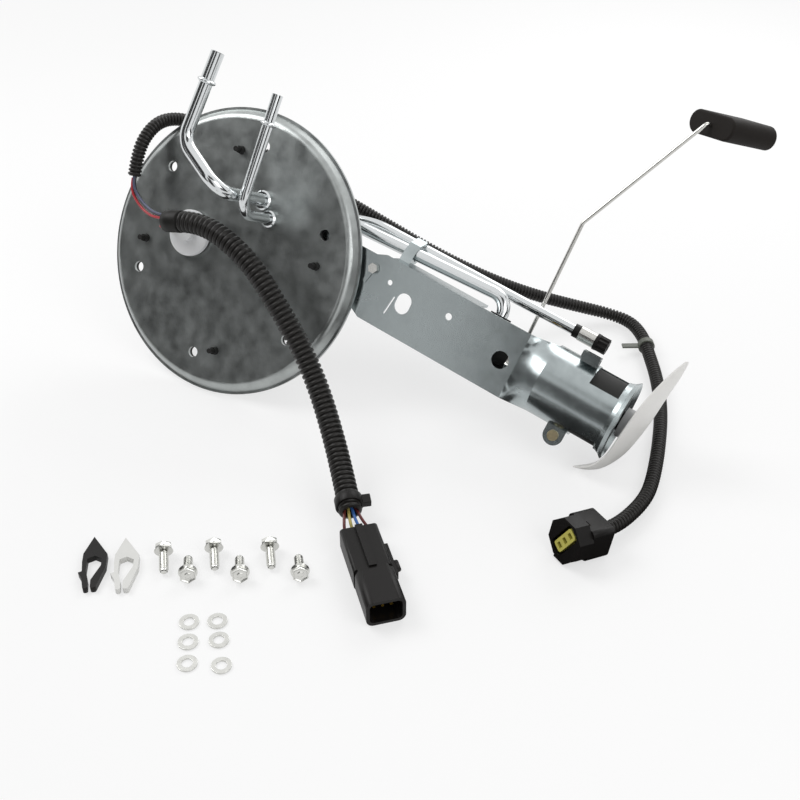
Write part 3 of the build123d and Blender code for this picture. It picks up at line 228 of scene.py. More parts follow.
class MetalLooks(bpy.types.PropertyGroup):
    flange: colour_setting("Flange", "#a6aaa9", "Dull zinc of the pressed flange plate")
    bracket: colour_setting("Bracket", "#a9b1b2", "Paler zinc of the bracket and its sleeve")
    tubes: colour_setting("Tubes", "#d4d7d8", "Bright plated steel of the feed and return tubes")
    fasteners: colour_setting("Fasteners", "#d3d3cf", "Bright zinc of the screws and washers")
    brass: colour_setting("Brass", "#b8963f", "Brass of the pins and terminals")


class PlasticLooks(bpy.types.PropertyGroup):
    black: colour_setting("Black nylon", "#12100f", "Glass-filled nylon of the plugs, clips and caps")
    white: colour_setting("White nylon", "#d9dadb", "Natural nylon of the bulkhead and the strainer port")
    conduit: colour_setting("Conduit", "#1a1816", "Corrugated polyamide of both conduits")
    insert: colour_setting("Insert", "#b7b052", "Yellow insert of the branch plug")
    strainer: colour_setting("Strainer", "#e3e2df", "Fine polyamide mesh of the strainer")
    float_foam: colour_setting("Float", "#191512", "Closed-cell rubber foam of the float")


class HarnessSizes(bpy.types.PropertyGroup):
    main_diameter: size_setting("Main conduit", 13.0, "Outside diameter of the main conduit")
    main_pitch: size_setting("Main pitch", 3.2, "Distance from rib to rib on the main conduit")
    branch_diameter: size_setting("Branch conduit", 8.4, "Outside diameter of the branch conduit")
    branch_pitch: size_setting("Branch pitch", 2.3, "Distance from rib to rib on the branch conduit")
    wire_diameter: size_setting("Wire", 1.7, "Outside diameter of one insulated wire")


class HardwareSizes(bpy.types.PropertyGroup):
    thread_pitch: size_setting("Thread pitch", 0.8, "Pitch of the M5 thread")
    thread_diameter: size_setting("Thread", 5.0, "Outside diameter of the M5 thread")
    shank_length: size_setting("Shank", 13.0, "Length of a screw under its head")
    head_across: size_setting("Head", 8.0, "Size across the flats of a screw head")


# Materials


def node(tree, kind, inputs=None, **settings):
    """Adds one shader node, sets its properties, and fills its sockets with values or links."""
    made = tree.nodes.new(kind)
    for name, value in settings.items():
        setattr(made, name, value)
    for socket, value in (inputs or {}).items():
        if isinstance(value, bpy.types.NodeSocket):
            tree.links.new(value, made.inputs[socket])
        else:
            made.inputs[socket].default_value = value
    return made


def rgba(colour, share=1.0):
    """A colour given as hex or linear, made lighter or darker by a share, with full alpha."""
    channels = linear(colour) if isinstance(colour, str) else tuple(colour)
    return (*[min(1.0, c * share) for c in channels], 1.0)


def mottled(
    name, colour, spread, patch, rough, rough_spread, grain, grain_height, metallic=0.0, specular=0.5
):
    """A material whose tone and gloss wander over patches, with a fine grain. Patch and grain are in mm."""
    material = bpy.data.materials.new(name)
    material.use_nodes = True
    tree = material.node_tree
    shader = tree.nodes["Principled BSDF"]
    place = node(tree, "ShaderNodeTexCoord").outputs["Object"]
    clouds = node(tree, "ShaderNodeTexNoise", {"Vector": place, "Scale": 1 / (patch * MM), "Detail": 5.0})
    tone = node(
        tree,
        "ShaderNodeMix",
        {"Factor": clouds.outputs[0], 6: rgba(colour, 1 - spread), 7: rgba(colour, 1 + spread)},
        data_type="RGBA",
    )
    tree.links.new(tone.outputs[2], shader.inputs["Base Color"])
    fine = node(tree, "ShaderNodeTexNoise", {"Vector": place, "Scale": 1 / (grain * MM), "Detail": 2.0})
    gloss = node(
        tree,
        "ShaderNodeMapRange",
        {"Value": clouds.outputs[0], "To Min": rough - rough_spread, "To Max": rough + rough_spread},
    )
    tree.links.new(gloss.outputs[0], shader.inputs["Roughness"])
    relief = node(
        tree,
        "ShaderNodeBump",
        {"Height": fine.outputs[0], "Strength": 0.5, "Distance": grain_height * MM},
    )
    tree.links.new(relief.outputs[0], shader.inputs["Normal"])
    shader.inputs["Metallic"].default_value = metallic
    shader.inputs["Specular IOR Level"].default_value = specular
    return material


def mesh_cloth(name, colour, thread):
    """Woven polyamide mesh: fine crossed threads, slightly shiny, with light coming through."""
    material = mottled(name, colour, 0.05, 14.0, 0.42, 0.06, 0.6, 0.05)
    tree = material.node_tree
    shader = tree.nodes["Principled BSDF"]
    place = node(tree, "ShaderNodeUVMap", uv_map="weave").outputs["UV"]
    bands = {"Vector": place, "Scale": 0.5 / (thread * MM) / pi}
    across = node(tree, "ShaderNodeTexWave", bands, wave_type="BANDS", bands_direction="X")
    along = node(tree, "ShaderNodeTexWave", bands, wave_type="BANDS", bands_direction="Y")
    crossing = node(
        tree, "ShaderNodeMath", {0: across.outputs[1], 1: along.outputs[1]}, operation="MAXIMUM"
    )
    relief = node(
        tree,
        "ShaderNodeBump",
        {"Height": crossing.outputs[0], "Strength": 0.35, "Distance": 0.1 * MM},
    )
    tree.links.new(relief.outputs[0], shader.inputs["Normal"])
    shader.inputs["Subsurface Weight"].default_value = 0.15
    shader.inputs["Subsurface Radius"].default_value = (0.002, 0.002, 0.002)
    shader.inputs["Sheen Weight"].default_value = 0.1
    return material


def make_finishes(scene):
    """Every finish of the module by name.

    The numbers are: spread of tone, patch in mm, roughness, its spread, grain in mm, depth of grain in mm.
    """
    metal = scene.module_metal
    plastic = scene.module_plastic
    return {
        # Passivated zinc on pressed steel: cloudy, grey and half dull
        "flange zinc": mottled("Zinc_plated_flange", metal.flange, 0.34, 9.0, 0.34, 0.10, 2.0, 0.03, 1.0),
        # The same plating, brighter, on the rolled bracket sheet
        "bracket zinc": mottled("Zinc_plated_bracket", metal.bracket, 0.32, 12.0, 0.25, 0.08, 2.5, 0.02, 1.0),
        # Nickel-bright drawn tube: nearly a mirror, with faint draw marks
        "bright tube": mottled("Bright_plated_tube", metal.tubes, 0.05, 9.0, 0.14, 0.04, 6.0, 0.01, 1.0),
        # Bright zinc on cold-headed screws and stamped washers
        "fastener zinc": mottled(
            "Zinc_plated_fastener", metal.fasteners, 0.08, 3.0, 0.22, 0.06, 0.4, 0.008, 1.0
        ),
        # Stainless steel of the bands, the clamps and the arm wire
        "stainless": mottled("Stainless_steel", "#c9c8c4", 0.05, 4.0, 0.20, 0.04, 0.5, 0.005, 1.0),
        # Drawn brass, slightly tarnished
        "brass": mottled("Brass", metal.brass, 0.12, 2.0, 0.28, 0.06, 0.4, 0.006, 1.0),
        # Plated brass rivet: pale, its plating worn through
        "dull brass": mottled("Plated_brass", "#c9bb98", 0.25, 1.5, 0.34, 0.06, 1.0, 0.02, 1.0),
        # Glass-filled nylon, moulded: satin black with a fine spark-eroded grain
        "black nylon": mottled(
            "Moulded_black_nylon", plastic.black, 0.14, 9.0, 0.42, 0.07, 0.6, 0.02, specular=0.22
        ),
        # Natural nylon, moulded: milky white, smooth
        "white nylon": mottled("Moulded_white_nylon", plastic.white, 0.03, 10.0, 0.38, 0.05, 0.5, 0.01),
        # Acetal of the second clip: a little greyer than the paper under it
        "grey-white acetal": mottled(
            "Moulded_acetal", "#dadad7", 0.04, 10.0, 0.40, 0.05, 0.8, 0.01, specular=0.35
        ),
        # Yellow polyester, moulded: satin
        "yellow insert": mottled("Moulded_yellow_insert", plastic.insert, 0.08, 4.0, 0.45, 0.05, 0.4, 0.015),
        # Polyamide of the tie and its tag, moulded: dull dark grey
        "grey tag": mottled("Moulded_grey_tag", "#565951", 0.06, 5.0, 0.50, 0.05, 0.4, 0.015),
        # Extruded and blown polyamide conduit: brownish black, waxy
        "conduit": mottled(
            "Corrugated_polyamide", plastic.conduit, 0.15, 11.0, 0.36, 0.06, 0.8, 0.02, specular=0.3
        ),
        # Vinyl tape, stretched over the conduit end
        "tape": mottled("Vinyl_tape", "#151412", 0.15, 6.0, 0.48, 0.08, 0.9, 0.03, specular=0.25),
        # Nitrile hose and gasket: dull black with a talc bloom
        "rubber": mottled("Nitrile_rubber", "#1c1c1b", 0.18, 7.0, 0.62, 0.08, 0.8, 0.03, specular=0.25),
        # Closed-cell foam of the float: brown-black, pitted skin
        "foam": mottled(
            "Closed_cell_foam", plastic.float_foam, 0.14, 6.0, 0.68, 0.06, 0.55, 0.12, specular=0.2
        ),
        # Blackened steel of the pump can: dark, with a soft shine
        "pump can": mottled("Blackened_steel", "#1f1e1e", 0.15, 9.0, 0.32, 0.06, 0.8, 0.01, 0.3, 0.3),
        # Cast aluminium of the pump's plate: grey and matt
        "aluminium": mottled("Cast_aluminium", "#b0b2b1", 0.08, 5.0, 0.42, 0.06, 0.6, 0.03, 1.0),
        # Sintered ferrite of the magnets: dark grey and dull
        "ferrite": mottled("Sintered_ferrite", "#3a3a3b", 0.10, 3.0, 0.55, 0.05, 0.3, 0.02),
        # Steel laminations under brown lacquer
        "laminations": mottled("Lacquered_laminations", "#6d4a30", 0.15, 3.0, 0.40, 0.06, 0.4, 0.02, 0.5),
        # Pressed carbon of the brushes: black and dull
        "carbon": mottled("Pressed_carbon", "#1b1b1c", 0.10, 2.0, 0.60, 0.05, 0.3, 0.02),
        # Fired ceramic of the resistor card: pale and matt
        "card": mottled("Ceramic_card", "#d8d4c6", 0.04, 6.0, 0.55, 0.05, 0.4, 0.01),
        # Polyamide mesh pouch: 0.9 mm threads, coarser than the real 0.1 mm so that they show
        "strainer mesh": mesh_cloth("Polyamide_strainer_mesh", plastic.strainer, 0.9),
        # PVC, extruded over the leads: smooth, with a low shine
        "red wire": mottled("PVC_red", "#a3202a", 0.08, 5.0, 0.36, 0.05, 0.5, 0.01),
        "dark red wire": mottled("PVC_dark_red", "#5f2422", 0.08, 5.0, 0.38, 0.05, 0.5, 0.01),
        "blue wire": mottled("PVC_blue", "#3d6bb0", 0.08, 5.0, 0.36, 0.05, 0.5, 0.01),
        "slate wire": mottled("PVC_slate", "#4a4f66", 0.08, 5.0, 0.38, 0.05, 0.5, 0.01),
        "yellow wire": mottled("PVC_yellow", "#b5a65c", 0.08, 5.0, 0.36, 0.05, 0.5, 0.01),
        "white wire": mottled("PVC_white", "#d6d2cf", 0.05, 5.0, 0.36, 0.05, 0.5, 0.01),
        "black wire": mottled("PVC_black", "#1b1a1c", 0.10, 5.0, 0.36, 0.05, 0.5, 0.01),
    }


# The camera, fitted to the photograph: its place over the table in mm, its view, its lens in mm, and the
# compass side that it stands on, in degrees from +X
CAMERA_AT = (404.6, -478.5, 431.2)
CAMERA_VIEW = (-0.4059, 0.6878, -0.6018)
CAMERA_LENS = 51.75
CAMERA_SIDE = -55.3
# How white the floor glows by itself near the module and from afar, and the distances of both, in metres
FLOOR_GLOW = (0.62, 1.0)
FLOOR_FADE = (0.35, 1.6)
FLOOR_SIZE = 60.0
FLOOR_DROP = 0.0002
# The white room's own light on the module
ROOM_LIGHT = 0.50
# Lamps: name, place, target and side in mm, and watts
LAMPS = (
    ("key", (-700, -140, 900), (0, 0, 60), 620, 5.5),
    ("fill", (700, -200, 520), (60, 0, 60), 480, 1.6),
    ("back", (60, 760, 560), (0, 0, 60), 560, 2.6),
)
# Grey cards round the module, seen only by reflections, which give the bright metal its dark parts: name,
# degrees from the camera's side, degrees wide, and lower and upper edge in mm
CARD_DISTANCE = 1000.0
CARDS = (
    ("left_card", -23.0, 30.0, 0.0, 900.0),
    ("face_card", -68.0, 32.0, 0.0, 1300.0),
    ("far_left_card", -96.0, 20.0, 0.0, 760.0),
    ("right_card", 52.0, 44.0, 0.0, 700.0),
    ("high_card", 12.0, 60.0, 1100.0, 2000.0),
)
# The card that lies under the sleeve: place, width and depth in mm
LOW_CARD_AT = (165.0, -25.0)
LOW_CARD_SIZE = (170.0, 150.0)
FINISH = {}
NODE_FINISHES = {
    "flange_plate": "flange zinc",
    "flange_gasket": "rubber",
    "bulkhead": "white nylon",
    "bulkhead_seal": "rubber",
    "bulkhead_pins": "brass",
    "feed_tube": "bright tube",
    "return_tube": "bright tube",
    "feed_ferrule": "bright tube",
    "return_ferrule": "bright tube",
    "bracket": "bracket zinc",
    "bracket_foot": "bracket zinc",
    "ground_screw": "fastener zinc",
    "ground_lug": "bracket zinc",
    "ear_rivet": "dull brass",
    "tube_clip": "bracket zinc",
    "return_valve": "black nylon",
    "valve_band": "stainless",
    "pump_isolator": "rubber",
    "pump_can": "pump can",
    "pump_inlet_cap": "black nylon",
    "pump_outlet_cap": "black nylon",
    "pump_terminals": "brass",
    "pump_plate": "aluminium",
    "pump_magnets": "ferrite",
    "brushes": "carbon",
    "pump_rotor": "laminations",
    "pump_impeller": "black nylon",
    "check_poppet": "brass",
    "outlet_hose": "rubber",
    "clamp_top": "stainless",
    "clamp_bottom": "stainless",
    "strainer_port": "white nylon",
    "sender_housing": "black nylon",
    "sender_card": "card",
    "float_arm": "stainless",
    "sender_float": "foam",
    "main_connector": "black nylon",
    "main_terminals": "brass",
    "connector_lock": "black nylon",
    "conduit_clip": "black nylon",
    "branch_connector": "black nylon",
    "branch_insert": "yellow insert",
    "conduit_tie": "grey tag",
    "washers": "fastener zinc",
    "clip_black": "black nylon",
    "clip_white": "grey-white acetal",
}
# Edges that the eye sees rounded, with their radius in mm
ROUNDED_NODES = {
    "washers": 0.15,
    "clip_black": 0.5,
    "clip_white": 0.5,
    "main_connector": 0.5,
    "branch_connector": 0.5,
    "connector_lock": 0.3,
    "sender_housing": 0.6,
    "conduit_clip": 0.3,
}


# Shapes


def clear_selection():
    """Nothing selected and nothing in edit mode, before a new primitive."""
    if bpy.context.object is not None and bpy.context.object.mode != "OBJECT":
        bpy.ops.object.mode_set(mode="OBJECT")
    bpy.ops.object.select_all(action="DESELECT")


def make_active(made):
    clear_selection()
    made.select_set(True)
    bpy.context.view_layer.objects.active = made


def mesh_piece(name, points, faces, finish):
    """An object at the origin from row-frame points in metres."""
    mesh = bpy.data.meshes.new(name)
    mesh.from_pydata([tuple(p) for p in points], [], faces)
    made = bpy.data.objects.new(name, mesh)
    bpy.context.scene.collection.objects.link(made)
    make_active(made)
    bpy.ops.object.mode_set(mode="EDIT")
    bpy.ops.mesh.select_all(action="SELECT")
    bpy.ops.mesh.remove_doubles(threshold=0.001 * MM)
    bpy.ops.mesh.normals_make_consistent(inside=False)
    bpy.ops.object.mode_set(mode="OBJECT")
    mesh.materials.append(FINISH[finish])
    return made


def route_line(name, points):
    """A smooth NURBS curve whose control points are the route's own points."""
    data = bpy.data.curves.new(name, "CURVE")
    data.dimensions = "3D"
    data.resolution_u = 16
    spline = data.splines.new("NURBS")
    spline.points.add(len(points) - 1)
    for point, at in zip(spline.points, points):
        point.co = (*at, 1.0)
    spline.order_u = 3
    spline.use_endpoint_u = True
    made = bpy.data.objects.new(name, data)
    bpy.context.scene.collection.objects.link(made)
    return made


def read_route(points):
    """Row-frame points read from the NURBS line of a route."""
    line = route_line("route_reading", points)
    mesh = bpy.data.meshes.new_from_object(line)
    read = [vertex.co.copy() for vertex in mesh.vertices]
    bpy.data.meshes.remove(mesh)
    bpy.data.curves.remove(line.data)
    if (read[0] - points[0]).length > (read[-1] - points[0]).length:
        read.reverse()
    return read


class Line:
    """A polyline that gives its place and a steady cross frame at any distance along it."""

    def __init__(self, points):
        self.points = points
        self.at = [0.0]
        for before, after in zip(points, points[1:]):
            self.at.append(self.at[-1] + (after - before).length)
        self.length = self.at[-1]
        self.ways = []
        for i in range(len(points)):
            low = max(0, i - 1)
            high = min(len(points) - 1, i + 1)
            self.ways.append((points[high] - points[low]).normalized())
        side = self.ways[0].orthogonal().normalized()
        self.sides = []
        for way in self.ways:
            side = (side - way * side.dot(way)).normalized()
            self.sides.append(side.copy())

    def frame(self, distance):
        distance = min(max(distance, 0.0), self.length)
        i = 0
        while i < len(self.at) - 2 and self.at[i + 1] < distance:
            i += 1
        share = (distance - self.at[i]) / (self.at[i + 1] - self.at[i])
        place = self.points[i].lerp(self.points[i + 1], share)
        way = self.ways[i].lerp(self.ways[i + 1], share).normalized()
        side = self.sides[i].lerp(self.sides[i + 1], share)
        side = (side - way * side.dot(way)).normalized()
        return place, way, side, way.cross(side)


def ring_tube(name, line, rings, sides, finish, bore=None):
    """A closed tube through rings of (distance, radius), with an open-looking bore at each end."""
    points = []
    for distance, radius in rings:
        place, _, side, up = line.frame(distance)
        for k in range(sides):
            angle = 2 * pi * k / sides
            points.append(place + side * radius * cos(angle) + up * radius * sin(angle))
    faces = []
    for i in range(len(rings) - 1):
        for k in range(sides):
            after = (k + 1) % sides
            faces.append(
                (i * sides + k, i * sides + after, (i + 1) * sides + after, (i + 1) * sides + k)
            )
    faces.append(tuple(reversed(range(sides))))
    faces.append(tuple(range((len(rings) - 1) * sides, len(rings) * sides)))
    made = mesh_piece(name, points, faces, finish)
    if bore:
        recess_ends(made, bore)
    make_active(made)
    bpy.ops.object.shade_smooth_by_angle(angle=radians(60))
    return made


def recess_ends(made, bore):
    """Insets both end faces and pushes them in, so that the tube shows its wall and bore."""
    wall, depth = bore
    make_active(made)
    bpy.ops.object.mode_set(mode="EDIT")
    bpy.ops.mesh.select_all(action="DESELECT")
    bpy.ops.object.mode_set(mode="OBJECT")
    for face in made.data.polygons:
        face.select = len(face.vertices) > 4
    bpy.ops.object.mode_set(mode="EDIT")
    bpy.ops.mesh.inset(thickness=wall, depth=0)
    bpy.ops.mesh.inset(thickness=0.01 * MM, depth=-depth)
    bpy.ops.object.mode_set(mode="OBJECT")


def corrugated(name, route, diameter, pitch, sides, finish):
    """Corrugated conduit: rounded ribs with narrow grooves, along a route's smooth line."""
    line = Line(read_route(route))
    crest = diameter / 2
    turns = int(line.length / pitch)
    step = line.length / turns
    rings = []
    for turn in range(turns):
        rings += [((turn + share) * step, crest - drop * pitch) for share, drop in RIB]
    rings.append((line.length, crest - RIB[0][1] * pitch))
    return ring_tube(name, line, rings, sides, finish, bore=CONDUIT_BORE), line


def wire(name, points, diameter, finish):
    """One insulated wire as a smooth NURBS line with a round section."""
    made = route_line(name, points)
    made.data.bevel_depth = diameter / 2
    made.data.bevel_resolution = 3
    made.data.use_fill_caps = True
    made.data.materials.append(FINISH[finish])
    return made


def circle_through(a, b, c):
    """Centre and radius of the circle through three points of a plane."""
    ax, ay = a
    bx, by = b
    cx, cy = c
    d = 2 * (ax * (by - cy) + bx * (cy - ay) + cx * (ay - by))
    a2 = ax * ax + ay * ay
    b2 = bx * bx + by * by
    c2 = cx * cx + cy * cy
    x = (a2 * (by - cy) + b2 * (cy - ay) + c2 * (ay - by)) / d
    y = (a2 * (cx - bx) + b2 * (ax - cx) + c2 * (bx - ax)) / d
    return x, y, ((ax - x) ** 2 + (ay - y) ** 2) ** 0.5


# Operators


class MODULE_OT_finish_nodes(bpy.types.Operator):
    """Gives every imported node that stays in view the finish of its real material"""

    bl_idname = "module.finish_nodes"
    bl_label = "Finish the packed nodes"

    def execute(self, context):
        FINISH.update(make_finishes(context.scene))
        for name, finish in NODE_FINISHES.items():
            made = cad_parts[name]
            made.data.materials.clear()
            made.data.materials.append(FINISH[finish])
        for name, radius in ROUNDED_NODES.items():
            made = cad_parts[name]
            weld = made.modifiers.new("Weld", "WELD")
            weld.merge_threshold = 0.005 * MM
            round_edges = made.modifiers.new("Rounded edges", "BEVEL")
            round_edges.width = radius * MM
            round_edges.segments = 2
            round_edges.limit_method = "ANGLE"
            round_edges.angle_limit = radians(50)
            round_edges.harden_normals = True
        return {"FINISHED"}


class MODULE_OT_main_harness(bpy.types.Operator):
    """Lays the main conduit with its tape, the bulkhead leads and the leads into its plug"""

    bl_idname = "module.main_harness"
    bl_label = "Main harness"

    def execute(self, context):
        sizes = context.scene.module_harness
        route = placed(TABLE, MAIN_ROUTE)
        conduit, line = corrugated(
            "main_loom", route, sizes.main_diameter, sizes.main_pitch, 26, "conduit"
        )
        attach(conduit, "module")
        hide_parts("main_conduit")
        wrap = sizes.main_diameter / 2
        tape_rings = [(at * MM, wrap + height * MM) for at, height in TAPE_TURNS]
        tape = ring_tube("main_tape", line, tape_rings, 26, "tape", bore=TAPE_BORE)
        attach(tape, "module")
        bundle = Line(read_route(placed(FLANGE, BUNDLE_ROUTE)))
        colours = ("red wire", "black wire", "yellow wire", "slate wire")
        for i, finish in enumerate(colours):
            self.strand(f"bulkhead_lead_{i + 1}", bundle, 2 * pi * i / 4, finish, sizes)
        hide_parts("main_wires")
        spreads = (
            ("dark red wire", -1.0),
            ("yellow wire", -0.32),
            ("blue wire", 0.32),
            ("dark red wire", 1.0),
        )
        for i, (finish, share) in enumerate(spreads):
            self.plug_lead(f"plug_lead_{i + 1}", share, finish, sizes)
        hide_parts("plug_wires")
        return {"FINISHED"}

    def strand(self, name, bundle, phase, finish, sizes):
        """One lead of the bundle, twisted half a turn round the others."""
        offset = LEAD_OFFSET * sizes.wire_diameter
        steps = 6
        points = []
        for i in range(steps + 1):
            place, _, side, up = bundle.frame(bundle.length * i / steps)
            angle = phase + pi * i / steps
            points.append(place + side * offset * cos(angle) + up * offset * sin(angle))
        made = wire(name, points, LEAD_SHARE * sizes.wire_diameter, finish)
        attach(made, "module")
        return made

    def plug_lead(self, name, share, finish, sizes):
        """One lead from the conduit's end to its own hole in the plug, fanned out by its share."""
        across = Vector(PLUG_ACROSS)
        starts = placed(TABLE, PLUG_WIRE_ROUTE)
        points = [at + across * width * share * MM for at, width in zip(starts, LEAD_FAN)]
        points[0] = points[0] - (points[1] - points[0]).normalized() * LEAD_IN_CONDUIT * MM
        points[-1] = points[-1] + Vector(PLUG_WAY) * LEAD_IN_PLUG * MM
        made = wire(name, points, sizes.wire_diameter, finish)
        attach(made, "module")
        return made


class MODULE_OT_branch_harness(bpy.types.Operator):
    """Lays the branch conduit and its four wires"""

    bl_idname = "module.branch_harness"
    bl_label = "Branch harness"

    def execute(self, context):
        sizes = context.scene.module_harness
        for i, (finish, offset, bow) in enumerate(BRANCH_WIRES):
            points = []
            for k, at in enumerate(BRANCH_WIRE_ROUTE):
                sag = bow * sin(pi * k / (len(BRANCH_WIRE_ROUTE) - 1))
                points.append((at[0] + offset[0], at[1] + offset[1] - sag, at[2] + offset[2]))
            made = wire(f"branch_wire_{i + 1}", placed(FLANGE, points), sizes.wire_diameter, finish)
            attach(made, "module")
            run = Line(read_route(placed(FLANGE, points)))
        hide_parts("branch_wires")
        conduit, line = corrugated(
            "branch_loom",
            placed(TABLE, BRANCH_ROUTE),
            sizes.branch_diameter,
            sizes.branch_pitch,
            16,
            "conduit",
        )
        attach(conduit, "module")
        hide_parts("branch_conduit")
        return {"FINISHED"}


class MODULE_OT_strainer(bpy.types.Operator):
    """Makes the mesh strainer as a filled pouch with a welded rim"""

    bl_idname = "module.strainer"
    bl_label = "Strainer"

    def execute(self, context):
        steps = 56
        lanes = 22
        middle = Line([at / MM for at in read_route([Vector((x, y, 0)) * MM for x, y in LEAF_LINE])])
        near = circle_through(*LEAF_NEAR)
        far = circle_through(*LEAF_FAR)
        points = []
        weave = []
        for face_side in (1, -1):
            for i in range(steps + 1):
                share = 0.5 - 0.5 * cos(pi * i / steps)
                at, way, _, _ = middle.frame(middle.length * share)
                out = Vector((-way.y, way.x, 0)) * (1 if way.y < 0 else -1)
                high = near[1] + (near[2] ** 2 - (at.y - near[0]) ** 2) ** 0.5
                low = far[1] - (far[2] ** 2 - (at.y - far[0]) ** 2) ** 0.5
                half = (high - low) / 2
                # Flat at both tips and full soon after them
                full = min(1.0, 2.6 * sin(pi * share)) ** 0.6
                for k in range(lanes + 1):
                    lane = sin(pi * (k / lanes - 0.5))
                    bulge = LEAF_RIM + (LEAF_THICK - LEAF_RIM) * full * (1 - abs(lane) ** 2.4)
                    place = at + out * face_side * bulge
                    points.append((place.x, place.y, low + half + half * lane))
                    weave.append((middle.length * share * MM, lane * half * MM))
        row = lanes + 1
        sheet = row * (steps + 1)
        faces = []
        for i in range(steps):
            for k in range(lanes):
                a = i * row + k
                faces.append((a, a + 1, a + row + 1, a + row))
                b = sheet + a
                faces.append((b, b + row, b + row + 1, b + 1))
        for k in range(lanes):
            faces.append((k + 1, k, sheet + k, sheet + k + 1))
            top = steps * row + k
            faces.append((top, top + 1, sheet + top + 1, sheet + top))
        for i in range(steps):
            a = i * row
            faces.append((a, a + row, sheet + a + row, sheet + a))
            b = a + lanes
            faces.append((b + row, b, sheet + b, sheet + b + row))
        mesh = bpy.data.meshes.new("strainer_pouch")
        mesh.from_pydata([tuple(p) for p in placed(LEAF, points)], [], faces)
        layer = mesh.uv_layers.new(name="weave")
        for loop in mesh.loops:
            layer.data[loop.index].uv = weave[loop.vertex_index]
        made = bpy.data.objects.new("strainer_pouch", mesh)
        context.scene.collection.objects.link(made)
        make_active(made)
        bpy.ops.object.mode_set(mode="EDIT")
        bpy.ops.mesh.select_all(action="SELECT")
        bpy.ops.mesh.normals_make_consistent(inside=False)
        bpy.ops.object.mode_set(mode="OBJECT")
        bpy.ops.object.shade_smooth_by_angle(angle=radians(50))
        mesh.materials.append(FINISH["strainer mesh"])
        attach(made, "module")
        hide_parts("strainer")
        return {"FINISHED"}


